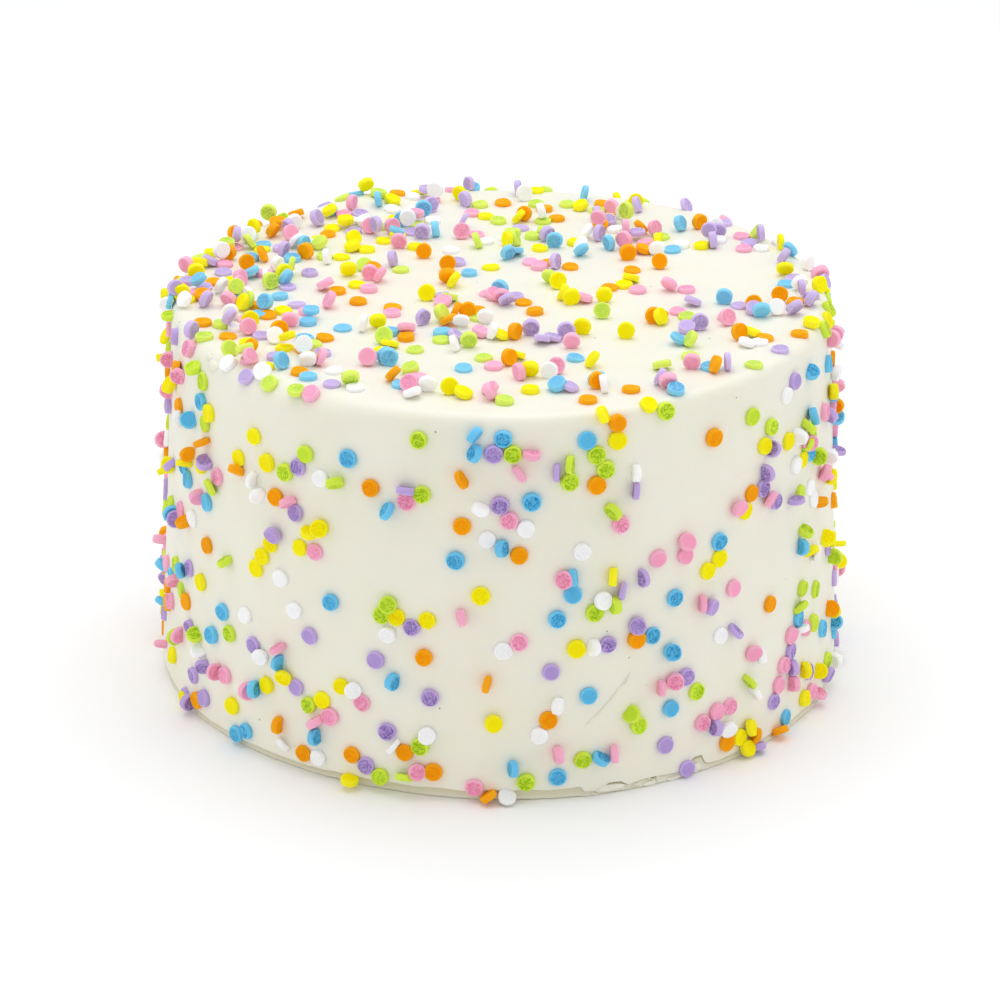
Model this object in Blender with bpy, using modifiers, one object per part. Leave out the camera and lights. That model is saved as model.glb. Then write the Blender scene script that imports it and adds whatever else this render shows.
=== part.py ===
"""A round layer cake coated in white buttercream and scattered with confetti sprinkles.

The cake is one solid: the scraped buttercream coat with its rounded rim, and the sprinkles fused to it.
It stands on the origin, +Z up, with its front towards -Y. An azimuth is measured from the front,
towards +X.
"""

import math
import random
from collections import namedtuple

import bmesh
import bpy
from mathutils import Matrix, Vector

MM = 0.001
HEIGHT = 124.1 * MM
BASE_RADIUS = 111.8 * MM
WALL_TAPER = 0.0535  # the wall leans in by this much for each metre that it rises
CORNER_RADIUS = BASE_RADIUS - WALL_TAPER * HEIGHT  # where wall and top would meet without a rounding
RIM_ROUNDING = 3.0 * MM
FOOT_HEIGHT = 3.2 * MM  # the scraped-back band at the foot of the wall
FOOT_LIP = 0.5 * MM
FOOT_RECESS = 0.5 * MM
WALL_WAVE = 0.3 * MM
TOP_WAVE = 0.4 * MM

SPRINKLE_DIAMETER = 5.5 * MM
SPRINKLE_THICKNESS = 1.95 * MM
SPRINKLE_SIDES = 7
FUSED_SPRINKLES = 305  # the thickest ones, spread evenly, that the solid carries
FUSED_GAP = 9.5 * MM
FLOOR_GAP = 0.4 * MM  # what the lowest sprinkles keep to the surface that the cake stands on
PILE_STEP = 0.6 * MM  # by how much a sprinkle on a pile is raised at a time until it has room
WALL_SPRINKLES = 820
TOP_SPRINKLES = 450
SEED = 22

TURN_STEPS = 60
ARC_STEPS = 3
TOP_RINGS = (0, 0.3, 0.6, 0.78, 0.9)  # shares of the corner radius at which the flat top has points

# Places where the rim has slumped into a softer curve: azimuth and reach in degrees, extra rounding in mm.
SOFT_RIMS = ((-42, 24, 5.0), (95, 35, 2.0), (-150, 35, 2.0))
# Places where the foot is scraped back further: azimuth and reach in degrees, extra depth in mm.
DEEP_FOOTS = ((-24, 30, 1.6),)
# Swells and hollows of the top: x, y, height and reach in mm.
TOP_SWELLS = ((-45, 84, 3.0, 13), (38, 40, -0.6, 30), (-60, 10, 0.6, 35), (10, -60, -0.4, 28))

COLOUR_SHARES = {"pink": 18, "yellow": 16, "purple": 15, "green": 15, "blue": 13, "white": 12, "orange": 11}

# Sprinkles fell in little chains, each one touching the one before it. A chain starts at an azimuth in
# degrees and a height in mm, and its words name the colours, @ the clock hour at which a sprinkle lies
# from the last one, seen from outside. A plain word lies flat, ^ leans on its neighbour, and / stands on
# edge along the stroke that the hour after it points to.
WALL_CHAINS = (
    (14, 116, "blue green@5 green@5 orange@7"), (19, 115, "yellow orange@12 yellow/12@10"),
    (-1, 113, "purple blue@1 green@5 pink/3@3"), (3, 107, "pink/5"), (-4, 119, "blue/1 blue/1@6"),
    (0, 97, "purple pink@5 white@4"), (-2, 86, "white blue/12@4"), (3, 53, "pink white@8"),
    (-19, 59, "green green^@1 yellow@5 purple@4 yellow@2"), (10, 73, "pink^ blue/12@3 blue@6"),
    (18, 72, "yellow/12 purple/12@5"), (15, 61, "green white^@1 green/12@4"),
    (12, 50, "yellow white/1@3 purple@3"), (22, 55, "purple^ orange@6 blue@3"),
    (18, 93, "green/11 pink@5"), (22, 104, "white/12 purple/12@6"), (9, 107, "purple/12 green/12@2 green@6"),
    (-15, 100, "purple/3 pink@6 green@2"), (-54, 87, "pink green^@7"), (-48, 93, "orange/3 yellow@12"),
    (-37, 98, "green purple@2 green@1"), (-30, 99, "white green/2@3"), (-39, 89, "orange pink/2@3 purple@5"),
    (-44, 92, "white/12 white/1@5"), (-32, 81, "yellow/3 yellow^@2"), (-34, 75, "yellow pink@3"),
    (-39, 77, "purple^ yellow@7"), (-42, 68, "yellow yellow@7"), (-69, 21, "green/12 pink/12@2"),
    (-44, 37, "purple white^@4"), (-38, 40, "pink/2 blue/12@6 yellow^@5 purple@4"),
    (-45, 21, "pink/12 blue/12@2 yellow@2"), (-53, 22, "pink/12 pink@3"), (-62, 4, "purple/12 orange@2 purple@2"),
    (-32, 24, "green yellow@2"), (-26, 33, "yellow white^@3 pink@5"), (-28, 22, "pink pink/2@8 blue/12@6"),
    (-33, 7, "orange white@3"), (-48, 4, "blue blue@2"), (-24, 11, "orange purple@4 green@4"),
    (-18, 21, "purple white/1@5 orange@4 green@2 white^@1"), (-15, 7, "green/3 pink^@2 orange@3"),
    (9, 32, "white/12 orange@7 white@7"), (13, 13, "green blue/4@3"), (-4, 5, "pink orange/2@4 white/3@3"),
    (21, 26, "green/1 green@5"), (34, 57, "pink/12 purple^@4"), (38, 75, "blue yellow@6 yellow@8"),
    (38, 44, "white purple/4@3"), (45, 34, "pink^ white/12@4"), (31, 34, "purple pink^@9"),
    (26, 33, "pink/12"), (28, 25, "blue"), (44, 25, "green/11 white/11@5"), (34, 17, "pink purple/12@4"),
    (37, 19, "pink pink@3"), (39, 12, "white^ orange@6 yellow@3 yellow^@2 orange/1@5"),
    (43, 2, "yellow^ purple/3@3"), (54, 5, "blue orange/3@8"), (52, 18, "pink purple@7"),
    (56, 32, "pink purple@6 pink@8 purple/12@4 pink/12@6"), (60, 17, "yellow/12 purple@4"),
    (60, 7, "yellow pink@3 pink/3@4"), (49, 100, "yellow purple/1@4"), (59, 97, "white/11 yellow@9"),
    (67, 85, "green/12 blue@10 yellow@9 white@9"), (31, 74, "pink pink^@12"), (25, 124, "yellow green@4"),
    (42, 84, "pink^ yellow@4 orange@1 purple@3 pink^@5 purple@4"), (61, 64, "green/3 blue/12@7"),
    (-6, 105, "orange/11"), (-3, 96, "white/4"), (5, 98, "blue"), (-6, 90, "orange"), (3, 81, "orange"),
    (-7, 79, "blue"), (-3, 68, "yellow"), (-6, 61, "pink/12"), (-12, 47, "orange"), (9, 60, "blue"),
    (8, 43, "purple"), (13, 81, "white"), (-13, 116, "green"), (-18, 93, "blue/1"), (-18, 53, "white"),
    (-25, 107, "blue"), (-21, 99, "orange"), (-41, 99, "yellow"), (-44, 106, "yellow"), (-38, 63, "white"),
    (-28, 60, "blue"), (-32, 47, "purple"), (-20, 44, "purple"), (-17, 38, "blue/12"), (-11, 34, "purple"),
    (-2, 40, "orange/12"), (-1, 27, "yellow^"), (14, 34, "blue"), (9, 16, "pink/12"), (9, 8, "blue"),
    (18, 14, "pink/12"), (2, 12, "blue/12"), (4, 7, "green"), (29, 61, "blue"), (23, 70, "purple/12"),
    (41, 58, "pink"), (50, 47, "orange"), (28, 44, "blue^"), (33, 28, "green"), (27, 13, "purple"),
    (31, 2.5, "purple"), (37, 109, "orange"), (46, 111, "green"), (51, 105, "green"), (49, 91, "purple/12"),
    (26, 75, "pink"), (66, 40, "green"), (-35, 54, "white"), (-46, 46, "white"), (-52, 43, "blue"),
    (-59, 48, "yellow"), (-55, 33, "blue"), (-50, 37, "green"), (-49, 13, "yellow"), (-38, 14, "orange/12"),
    (-37, 8, "white/4"), (-24, 3, "yellow/3"), (-57, 106, "yellow"), (-58, 96, "orange/2"), (-57, 62, "orange"),
    (-51, 61, "green/2"),
)
# On the top a chain starts at x and y in mm, and twelve o'clock points away from the front.
TOP_CHAINS = (
    (-40, -64, "pink/3 blue/2@2 blue/3@5"), (-36, -53, "yellow yellow^@1 green/3@11"),
    (-38, -32, "yellow/3 white/12@8"), (-26, -52, "green"), (-29, -42, "orange pink^@12 blue@9"),
    (-24, -29, "purple/2"), (-34, -15, "orange pink@6"), (-32, -77, "orange/1 blue@5 pink/3@5 white/3@3"),
    (-27, -71, "green^ pink@5"), (-26, -90, "white^"), (-11, -67, "blue"), (-14, -51, "white/12 green/3@2"),
    (-5, -58, "green"), (-18, -38, "blue green@6 purple^@3"), (-46, 5, "yellow"), (-49, 14, "yellow/3"),
    (-12, -32, "white/3 orange^@10 green/1@11 orange/12@2 orange/3@3"), (-50, -81, "purple green/3@3"),
    (-18, -12, "pink^ green^@1 purple@11 yellow/3@8"), (-17, 8, "orange/3 yellow/1@5"), (-17, 20, "orange/3"),
    (-14, 26, "purple"), (-10, 16, "blue"), (-7, -19, "orange green@6 white/3@5"), (-42, 1, "pink"),
    (-6, -39, "pink^ white/12@4 yellow^@3 orange/1@3 purple/3@2"), (-4, -3, "pink pink^@5 pink/3@5 purple/2@5"),
    (0, -4, "blue/4 purple@4 orange@5"), (-2, -65, "pink orange/2@2 yellow^@1"), (9, -72, "yellow/3 pink/5@8"),
    (-15, -87, "yellow/3 yellow^@4"), (-3, -86, "pink^ pink/12@6 green@4"), (-58, -60, "blue green/3@6 white/3@6"),
    (-54, -64, "pink/12"), (-60, -52, "orange"), (-54, -42, "orange"), (-49, -33, "blue"), (-45, -10, "orange"),
    (-54, -14, "pink/12"), (-52, -1, "orange pink^@10"), (-43, -84, "white"), (-50, -70, "white"),
    (-42, 11, "pink/3 pink/1@4"), (-44, 20, "green^ orange^@4"), (-35, 24, "purple/12 green@5"),
    (-44, 38, "yellow yellow^@9"), (-25, 32, "orange/3"), (-28, 41, "yellow pink/3@9"), (-26, 51, "purple/3 blue/12@2"),
    (13, -45, "purple^ purple^@2 purple/3@2 yellow/3@2"), (22, -49, "pink/3"), (23, -58, "blue"),
    (28, -64, "yellow/12"), (9, -84, "yellow"), (17, -83, "blue^ purple^@3"), (17, -69, "pink/3 white/3@7"),
    (29, -77, "blue^ orange/2@6 white/12@5"), (26, -92, "orange"), (39, -41, "yellow/3"), (39, -84, "orange"),
    (16, 7, "green/4 yellow/3@5"), (20, -8, "yellow/12 yellow/3@5 pink^@2"), (33, -10, "yellow/3"),
    (32, -24, "green/3"), (35, 2, "orange yellow@2 yellow^@1"), (43, 20, "orange"), (42, 32, "orange/3"),
    (44, 0, "pink"), (11, -20, "orange"), (48, -28, "orange/3 orange^@1 yellow/1@6"), (58, -36, "purple^ purple/3@2"),
    (56, -19, "pink green@5"), (61, -12, "purple^"), (55, -46, "blue^ green/12@4"), (58, -58, "green"),
    (58, -67, "pink/3 blue@3"), (49, -67, "green^"), (48, -79, "purple/1 pink/3@5 blue^@5"),
    (65, -70, "orange/12 purple/12@2"), (71, -24, "pink pink/2@6"), (74, -42, "orange/2 yellow^@2 orange@4"),
    (80, -16, "orange/3 purple^@6 blue/3@5 white/3@2 purple/2@3"), (71, -10, "blue/3 purple@4"),
    (76, -48, "white^ white@2"), (93, -38, "orange"), (86, -52, "purple"), (77, -65, "green"),
    (10, 27, "pink pink@5 orange@1 purple/1@5 orange@3"), (11, 53, "green green^@2"), (18, 44, "blue/3 yellow@8"),
    (54, 1, "pink/4 pink@3"), (52, 23, "orange/3"), (92, 16, "yellow/3 purple@5 blue@7"), (99, -4, "purple"),
    (5, 35, "blue^ blue/2@7"), (-3, 22, "yellow"),
)
# The chains above are all that lies on the front of the wall, between these azimuths, and on the middle
# and front of the top, between these values of x and in front of this y in mm. Loose ones fill the rest.
CHAINS_FROM, CHAINS_TO = -57, 58
CHAINS_LEFT, CHAINS_RIGHT, CHAINS_BACK = -56, 88, 38
# Drifts where more of the loose sprinkles landed on the top: x, y and reach in mm, and their weight.
TOP_DRIFTS = (
    (-66, -62, 15, 2.9), (-76, -30, 17, 1.5), (-86, 0, 18, 1.1), (-78, 44, 20, 1.1), (-50, 78, 14, 1.2),
    (66, 52, 22, 1.3), (94, 15, 14, 1.5),
)
# And on the wall, where the sides are thicker set than the back: azimuth and reach in degrees, weight.
WALL_DRIFTS = ((-76, 20, 0.5), (76, 20, 0.6))

Sprinkle = namedtuple("Sprinkle", "colour centre turn radius thickness")


def soft_spot(azimuth, centre, reach):
    """1 at the centre azimuth, fading to 0 a reach or two away. All in degrees."""
    away = (azimuth - centre + 180) % 360 - 180
    return math.exp(-((away / reach) ** 2))


def rim_rounding(azimuth):
    """Radius of the rounding between wall and top, at an azimuth in radians."""
    degrees = math.degrees(azimuth)
    return RIM_ROUNDING + sum(extra * MM * soft_spot(degrees, centre, reach) for centre, reach, extra in SOFT_RIMS)


def foot_recess(azimuth):
    """How far the foot is scraped back at an azimuth in radians."""
    degrees = math.degrees(azimuth)
    return FOOT_RECESS + sum(extra * MM * soft_spot(degrees, centre, reach) for centre, reach, extra in DEEP_FOOTS)


def uneven(point):
    """Moves a point of the ideal coat to where the scraper really left it."""
    azimuth = math.atan2(point.x, -point.y)
    share = point.z / HEIGHT
    outward = Vector((point.x, point.y, 0))
    out = outward.length
    wave = math.sin(3 * azimuth + 0.6 + 2 * share) + 0.6 * math.sin(5 * azimuth + 2.1 - 3 * share)
    if out > 0:
        outward *= (out + WALL_WAVE * wave * min(1.0, out / CORNER_RADIUS) ** 3) / out
    rise = TOP_WAVE * math.sin(point.x / (23 * MM) + 0.7) * math.sin(point.y / (27 * MM) + 1.9)
    for x, y, height, reach in TOP_SWELLS:
        away = math.hypot(point.x - x * MM, point.y - y * MM) / (reach * MM)
        rise += height * MM * math.exp(-away * away)
    return Vector((outward.x, outward.y, point.z + rise * max(0.0, 2 * share - 1)))


def around(azimuth, radius, height):
    return Vector((radius * math.sin(azimuth), -radius * math.cos(azimuth), height))


def wall_point(azimuth, climb):
    """A point of the coat at a distance up the wall, which runs on over the rounded rim."""
    rounding = rim_rounding(azimuth)
    straight = HEIGHT - rounding
    if climb <= straight:
        return uneven(around(azimuth, BASE_RADIUS - WALL_TAPER * climb, climb))
    angle = min((climb - straight) / rounding, math.pi / 2)
    radius = CORNER_RADIUS - rounding * (1 - math.cos(angle))
    return uneven(around(azimuth, radius, straight + rounding * math.sin(angle)))


def top_point(x, y):
    """A point of the coat over x and y, on the top or the rounded rim."""
    azimuth = math.atan2(x, -y)
    rounding = rim_rounding(azimuth)
    over = math.hypot(x, y) - (CORNER_RADIUS - rounding)
    drop = rounding - math.sqrt(max(0.0, rounding**2 - over**2)) if over > 0 else 0.0
    return uneven(Vector((x, y, HEIGHT - drop)))


def frame_at(surface, first, second, nudge_first, nudge_second):
    """The point of a surface function, and its unit right, up and outward directions."""
    point = surface(first, second)
    right = (surface(first + nudge_first, second) - surface(first - nudge_first, second)).normalized()
    up = (surface(first, second + nudge_second) - surface(first, second - nudge_second)).normalized()
    return point, right, up, right.cross(up).normalized()


def wall_frame(azimuth, climb):
    return frame_at(wall_point, azimuth, climb, 0.004, 0.4 * MM)


def top_frame(x, y):
    return frame_at(top_point, x, y, 0.4 * MM, 0.4 * MM)


def clock(hour, right, up):
    """The direction that a clock hour points to, with twelve o'clock up."""
    angle = math.radians(30 * hour)
    return math.sin(angle) * right + math.cos(angle) * up


def seat(draw, colour, pose, frame, came_from):
    """One sprinkle at a frame of the surface, in the pose that its word gives."""
    point, right, up, out = frame
    radius = 0.5 * SPRINKLE_DIAMETER * draw.uniform(0.95, 1.04)
    thickness = SPRINKLE_THICKNESS * draw.uniform(0.82, 1.3)
    aside = clock(draw.uniform(0, 12), right, up)
    if pose.isdigit():
        stroke = clock(int(pose) + draw.uniform(-0.35, 0.35), right, up)
        lean = math.radians(draw.uniform(-38, 38))
        normal = math.cos(lean) * out.cross(stroke) + math.sin(lean) * out
        # What falls on the top stays higher than what was pressed into the wall.
        lift = radius * math.cos(lean) * (draw.uniform(0.68, 0.88) if out.z > 0.7 else draw.uniform(0.35, 0.7))
    elif pose == "^":
        tilt = math.radians(draw.uniform(18, 34))
        normal = math.cos(tilt) * out + math.sin(tilt) * (came_from or aside)
        lift = 0.5 * thickness + 0.6 * radius * math.sin(tilt)
    else:
        tilt = math.radians(draw.uniform(0, 9))
        normal = math.cos(tilt) * out + math.sin(tilt) * aside
        lift = thickness * draw.uniform(0.05, 0.3)
    spin = Matrix.Rotation(draw.uniform(0, math.tau), 3, "Z")
    normal.normalize()
    turn = normal.to_track_quat("Z", "Y").to_matrix() @ spin
    centre = point + lift * out
    half_height = radius * math.sqrt(1 - normal.z**2) + 0.5 * thickness * abs(normal.z)
    centre.z = max(centre.z, half_height + FLOOR_GAP)
    return Sprinkle(colour, centre, turn, radius, thickness)


def reach_of(pose, hour):
    """How much room a sprinkle takes from its middle to the neighbour that it touches at a clock hour."""
    if pose.isdigit():
        angle = math.radians(30 * (int(hour) - int(pose)))
        along, across = abs(math.cos(angle)), abs(math.sin(angle))
        return 0.5 * (SPRINKLE_DIAMETER * along + SPRINKLE_THICKNESS * across)
    return 0.5 * SPRINKLE_DIAMETER * (0.7 if pose == "^" else 1.0)


def read_word(word):
    """Colour, pose and clock hour of one word of a chain."""
    word, _, hour = word.partition("@")
    if word.endswith("^"):
        return word[:-1], "^", hour
    colour, _, stroke = word.partition("/")
    return colour, stroke, hour


def lay_chain(draw, frame_of, spacing, start, words):
    """Sprinkles of one chain. spacing turns a step to the right and up into steps of the two coordinates."""
    first, second = start
    laid = []
    last = None
    for word in words:
        colour, pose, hour = read_word(word)
        came_from = None
        if last is not None:
            step = reach_of(last, hour) + reach_of(pose, hour)
            angle = math.radians(30 * int(hour))
            first += step * math.sin(angle) / spacing(second)
            second += step * math.cos(angle)
            _, right, up, _ = frame_of(first, second)
            came_from = clock(int(hour), right, up)
        laid.append(seat(draw, colour, pose, frame_of(first, second), came_from))
        last = pose
    return laid


def wall_spacing(climb):
    return BASE_RADIUS - WALL_TAPER * climb


def top_spacing(_):
    return 1.0


def random_words(draw):
    """A chain of one to five sprinkles, as they tend to fall."""
    length = draw.choices((1, 2, 3, 4, 5), (58, 22, 11, 6, 3))[0]
    words = []
    for place in range(length):
        colour = draw.choices(list(COLOUR_SHARES), list(COLOUR_SHARES.values()))[0]
        pose = draw.choices(("", "^", "/"), (56, 12 if place else 4, 34))[0]
        if pose == "/":
            pose += str(draw.randint(1, 12))
        words.append(f"{colour}{pose}@{draw.randint(1, 12)}")
    return words


def wall_weight(azimuth):
    degrees = math.degrees(azimuth)
    return 1.0 + sum(weight * soft_spot(degrees, centre, reach) for centre, reach, weight in WALL_DRIFTS)


def top_weight(x, y):
    weight = 0.6
    for middle_x, middle_y, reach, more in TOP_DRIFTS:
        away = math.hypot(x - middle_x * MM, y - middle_y * MM) / (reach * MM)
        weight += more * math.exp(-away * away)
    return weight


def half_width(sprinkle, direction):
    """From a sprinkle's middle to its skin in a direction."""
    tipped = min(1.0, abs(sprinkle.turn.col[2].dot(direction)))
    return sprinkle.radius * math.sqrt(1 - tipped**2) + 0.5 * sprinkle.thickness * tipped


def is_clear(sprinkle, others, share=0.9):
    """Whether a sprinkle has a share of the room that it needs beside every other."""
    for other in others:
        gap = other.centre - sprinkle.centre
        away = gap.length
        if away > 1.2 * SPRINKLE_DIAMETER:
            continue
        gap.normalize()
        if away < share * (half_width(sprinkle, gap) + half_width(other, gap)):
            return False
    return True


def find_room(sprinkle, others, pile_steps):
    """The sprinkle where it fell, or lying on the ones beneath it. None if it would run through one."""
    for step in range(pile_steps + 1):
        raised = sprinkle._replace(centre=sprinkle.centre + Vector((0, 0, step * PILE_STEP)))
        if is_clear(raised, others):
            return raised
    return None


def fill(draw, laid, wanted, pick_start, frame_of, spacing, limit, pile_steps):
    """Adds random chains until the wanted number lie there."""
    while len(laid) < wanted:
        start = pick_start(draw)
        fallen = []
        for sprinkle in lay_chain(draw, frame_of, spacing, start, random_words(draw)):
            room = find_room(sprinkle, laid + fallen[:-1], pile_steps)
            if room and limit(room.centre):
                fallen.append(room)
            elif not fallen:
                break
        laid += fallen
    return laid


def pick_wall(draw):
    while True:
        azimuth = draw.uniform(-math.pi, math.pi)
        charted = CHAINS_FROM < math.degrees(azimuth) < CHAINS_TO
        if not charted and draw.uniform(0, 1.6) < wall_weight(azimuth):
            return azimuth, draw.uniform(3 * MM, HEIGHT)


def pick_top(draw):
    while True:
        radius = (CORNER_RADIUS - 2 * MM) * math.sqrt(draw.random())
        azimuth = draw.uniform(-math.pi, math.pi)
        x, y = radius * math.sin(azimuth), -radius * math.cos(azimuth)
        charted = CHAINS_LEFT * MM < x < CHAINS_RIGHT * MM and y < CHAINS_BACK * MM
        if not charted and draw.uniform(0, 3.0) < top_weight(x, y):
            return x, y


def is_on_wall(centre):
    return centre.z < HEIGHT + 1 * MM


def is_on_top(centre):
    return centre.xy.length < CORNER_RADIUS + 1 * MM


def scatter():
    """Every sprinkle of the cake, always the same ones."""
    draw = random.Random(SEED)
    wall = []
    for degrees, height, words in WALL_CHAINS:
        wall += lay_chain(draw, wall_frame, wall_spacing, (math.radians(degrees), height * MM), words.split())
    top = []
    for x, y, words in TOP_CHAINS:
        top += lay_chain(draw, top_frame, top_spacing, (x * MM, y * MM), words.split())
    fill(draw, wall, WALL_SPRINKLES, pick_wall, wall_frame, wall_spacing, is_on_wall, pile_steps=0)
    fill(draw, top, TOP_SPRINKLES, pick_top, top_frame, top_spacing, is_on_top, pile_steps=4)
    return wall + top


def spread_evenly(sprinkles, wanted, gap):
    """The thickest sprinkles, none nearer to another than the gap."""
    kept = []
    for sprinkle in sorted(sprinkles, key=lambda one: -one.thickness):
        if len(kept) < wanted and all((sprinkle.centre - one.centre).length > gap for one in kept):
            kept.append(sprinkle)
    return kept


def coat_profile():
    """Half section of the coat as radius and height, from the middle of the top down to the foot."""
    straight = HEIGHT - RIM_ROUNDING
    profile = [(share * CORNER_RADIUS, HEIGHT) for share in TOP_RINGS]
    for step in range(ARC_STEPS, -1, -1):
        angle = 0.5 * math.pi * step / ARC_STEPS
        radius = CORNER_RADIUS - RIM_ROUNDING * (1 - math.cos(angle))
        profile.append((radius, straight + RIM_ROUNDING * math.sin(angle)))
    for share in (0.75, 0.5, 0.25):
        profile.append((BASE_RADIUS - WALL_TAPER * share * straight, share * straight))
    lip = FOOT_HEIGHT + FOOT_LIP
    profile.append((BASE_RADIUS - WALL_TAPER * lip, lip))
    profile.append((BASE_RADIUS - FOOT_RECESS, FOOT_HEIGHT))
    profile.append((BASE_RADIUS - FOOT_RECESS, 0))
    profile.append((0, 0))
    return profile


def settle(point):
    """Moves a point of the turned coat to the rounding and foot recess of its own azimuth."""
    azimuth = math.atan2(point.x, -point.y)
    radius, height = math.hypot(point.x, point.y), point.z
    rounding = rim_rounding(azimuth)
    nominal = HEIGHT - RIM_ROUNDING
    inner = CORNER_RADIUS - RIM_ROUNDING
    if height < nominal - 1e-6:
        if height > FOOT_HEIGHT + 0.5 * FOOT_LIP:
            height *= (HEIGHT - rounding) / nominal
            radius = BASE_RADIUS - WALL_TAPER * height
        elif radius > 0.5 * BASE_RADIUS:
            radius = BASE_RADIUS - foot_recess(azimuth)
    elif radius < inner - 1e-6:
        radius *= (CORNER_RADIUS - rounding) / inner
    else:
        radius = CORNER_RADIUS + (radius - CORNER_RADIUS) * rounding / RIM_ROUNDING
        height = HEIGHT + (height - HEIGHT) * rounding / RIM_ROUNDING
    return uneven(around(azimuth, radius, height))


def make_material(name, colour, roughness):
    material = bpy.data.materials.new(name)
    material.use_nodes = True
    shader = material.node_tree.nodes["Principled BSDF"]
    shader.inputs["Base Color"].default_value = (*colour, 1.0)
    shader.inputs["Roughness"].default_value = roughness
    shader.inputs["Metallic"].default_value = 0.0
    return material


def bake(thing):
    """Turns an object's modifiers into plain mesh."""
    mesh = bpy.data.meshes.new_from_object(thing.evaluated_get(bpy.context.evaluated_depsgraph_get()))
    thing.modifiers.clear()
    thing.data = mesh


def make_coat(collection):
    """The buttercream coat: a turned profile, then settled to its uneven form."""
    mesh = bpy.data.meshes.new("cake")
    points = [(radius, 0, height) for radius, height in coat_profile()]
    mesh.from_pydata(points, [(i, i + 1) for i in range(len(points) - 1)], [])
    coat = bpy.data.objects.new("cake", mesh)
    collection.objects.link(coat)
    screw = coat.modifiers.new("turn", "SCREW")
    screw.steps = TURN_STEPS
    screw.render_steps = TURN_STEPS
    screw.use_merge_vertices = True
    screw.merge_threshold = 0.00001
    bake(coat)
    for vertex in coat.data.vertices:
        vertex.co = settle(vertex.co)
    return coat


def make_sprinkle(number, sprinkle, collection):
    mesh = bpy.data.meshes.new(f"sprinkle_{number}")
    shape = bmesh.new()
    bmesh.ops.create_cone(
        shape, cap_ends=True, segments=SPRINKLE_SIDES, radius1=sprinkle.radius, radius2=sprinkle.radius,
        depth=sprinkle.thickness, matrix=Matrix.Translation(sprinkle.centre) @ sprinkle.turn.to_4x4(),
    )
    shape.to_mesh(mesh)
    shape.free()
    collection.objects.link(bpy.data.objects.new(mesh.name, mesh))


def drop_scraps(mesh):
    """Keeps only the largest joined-up piece of a mesh, so that nothing is left floating beside it."""
    shape = bmesh.new()
    shape.from_mesh(mesh)
    unseen = set(shape.verts)
    pieces = []
    while unseen:
        piece = waiting = {unseen.pop()}
        while waiting:
            waiting = {edge.other_vert(vertex) for vertex in waiting for edge in vertex.link_edges} & unseen
            unseen -= waiting
            piece = piece | waiting
        pieces.append(piece)
    pieces.sort(key=len)
    for scrap in pieces[:-1]:
        bmesh.ops.delete(shape, geom=list(scrap), context="VERTS")
    shape.to_mesh(mesh)
    shape.free()


def fuse_sprinkles(coat, loose):
    """Joins the loose sprinkles to the coat in one cut and removes them."""
    union = coat.modifiers.new("fuse", "BOOLEAN")
    union.operation = "UNION"
    union.operand_type = "COLLECTION"
    union.collection = loose
    union.solver = "EXACT"
    bake(coat)
    drop_scraps(coat.data)
    for thing in list(loose.objects):
        bpy.data.objects.remove(thing)
    bpy.data.collections.remove(loose)


def main():
    for thing in list(bpy.data.objects):
        bpy.data.objects.remove(thing)
    scene = bpy.context.scene
    food = bpy.data.collections.new("confetti_cake")
    loose = bpy.data.collections.new("loose_sprinkles")
    scene.collection.children.link(food)
    scene.collection.children.link(loose)

    coat = make_coat(food)
    for number, sprinkle in enumerate(spread_evenly(scatter(), FUSED_SPRINKLES, FUSED_GAP)):
        make_sprinkle(number, sprinkle, loose)
    fuse_sprinkles(coat, loose)
    coat.data.materials.clear()
    coat.data.materials.append(make_material("buttercream", (0.83, 0.80, 0.70), 0.5))
    coat.data.shade_smooth()
    coat.data.set_sharp_from_angle(angle=math.radians(35))


main()
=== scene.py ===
"""The looks of a round layer cake: scraped white buttercream with confetti sprinkles stuck all over it.

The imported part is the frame. The coat of buttercream and the sprinkles stand for its one solid and lie
where that lies. The cake's front is towards -Y, and an azimuth is measured from the front, towards +X.
"""

import math
import random
from collections import namedtuple

import bpy
from mathutils import Matrix, Vector, noise
from mathutils.bvhtree import BVHTree


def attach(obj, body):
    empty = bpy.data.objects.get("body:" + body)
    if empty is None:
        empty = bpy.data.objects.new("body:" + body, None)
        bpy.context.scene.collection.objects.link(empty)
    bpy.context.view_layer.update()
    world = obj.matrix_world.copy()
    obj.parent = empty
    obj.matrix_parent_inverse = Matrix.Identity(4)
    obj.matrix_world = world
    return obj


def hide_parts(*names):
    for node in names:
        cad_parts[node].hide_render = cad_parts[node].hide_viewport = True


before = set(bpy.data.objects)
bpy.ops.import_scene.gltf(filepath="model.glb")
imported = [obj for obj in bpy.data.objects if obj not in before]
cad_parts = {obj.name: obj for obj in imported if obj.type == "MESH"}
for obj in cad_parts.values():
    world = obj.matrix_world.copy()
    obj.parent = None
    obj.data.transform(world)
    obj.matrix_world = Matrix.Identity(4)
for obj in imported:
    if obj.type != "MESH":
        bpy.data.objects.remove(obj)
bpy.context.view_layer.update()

# The coat is one skin of buttercream over the whole cake: butter beaten with icing sugar until nearly
# white, spread with a palette knife on a turntable and drawn round with a straight scraper. It leans in a
# little towards the top, its rim has slumped here and there, and the scraper's corner cut back its foot.

MM = 0.001
HEIGHT = 124.1 * MM
BASE_RADIUS = 111.8 * MM
WALL_TAPER = 0.0535  # the wall leans in by this much for each metre that it rises
CORNER_RADIUS = BASE_RADIUS - WALL_TAPER * HEIGHT  # where wall and top would meet without a rounding
RIM_ROUNDING = 3.0 * MM
FOOT_RECESS = 0.5 * MM
WALL_WAVE = 0.3 * MM
TOP_WAVE = 0.4 * MM
TOP_WAVE_REACHES = (23 * MM, 27 * MM)  # along x and y

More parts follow.
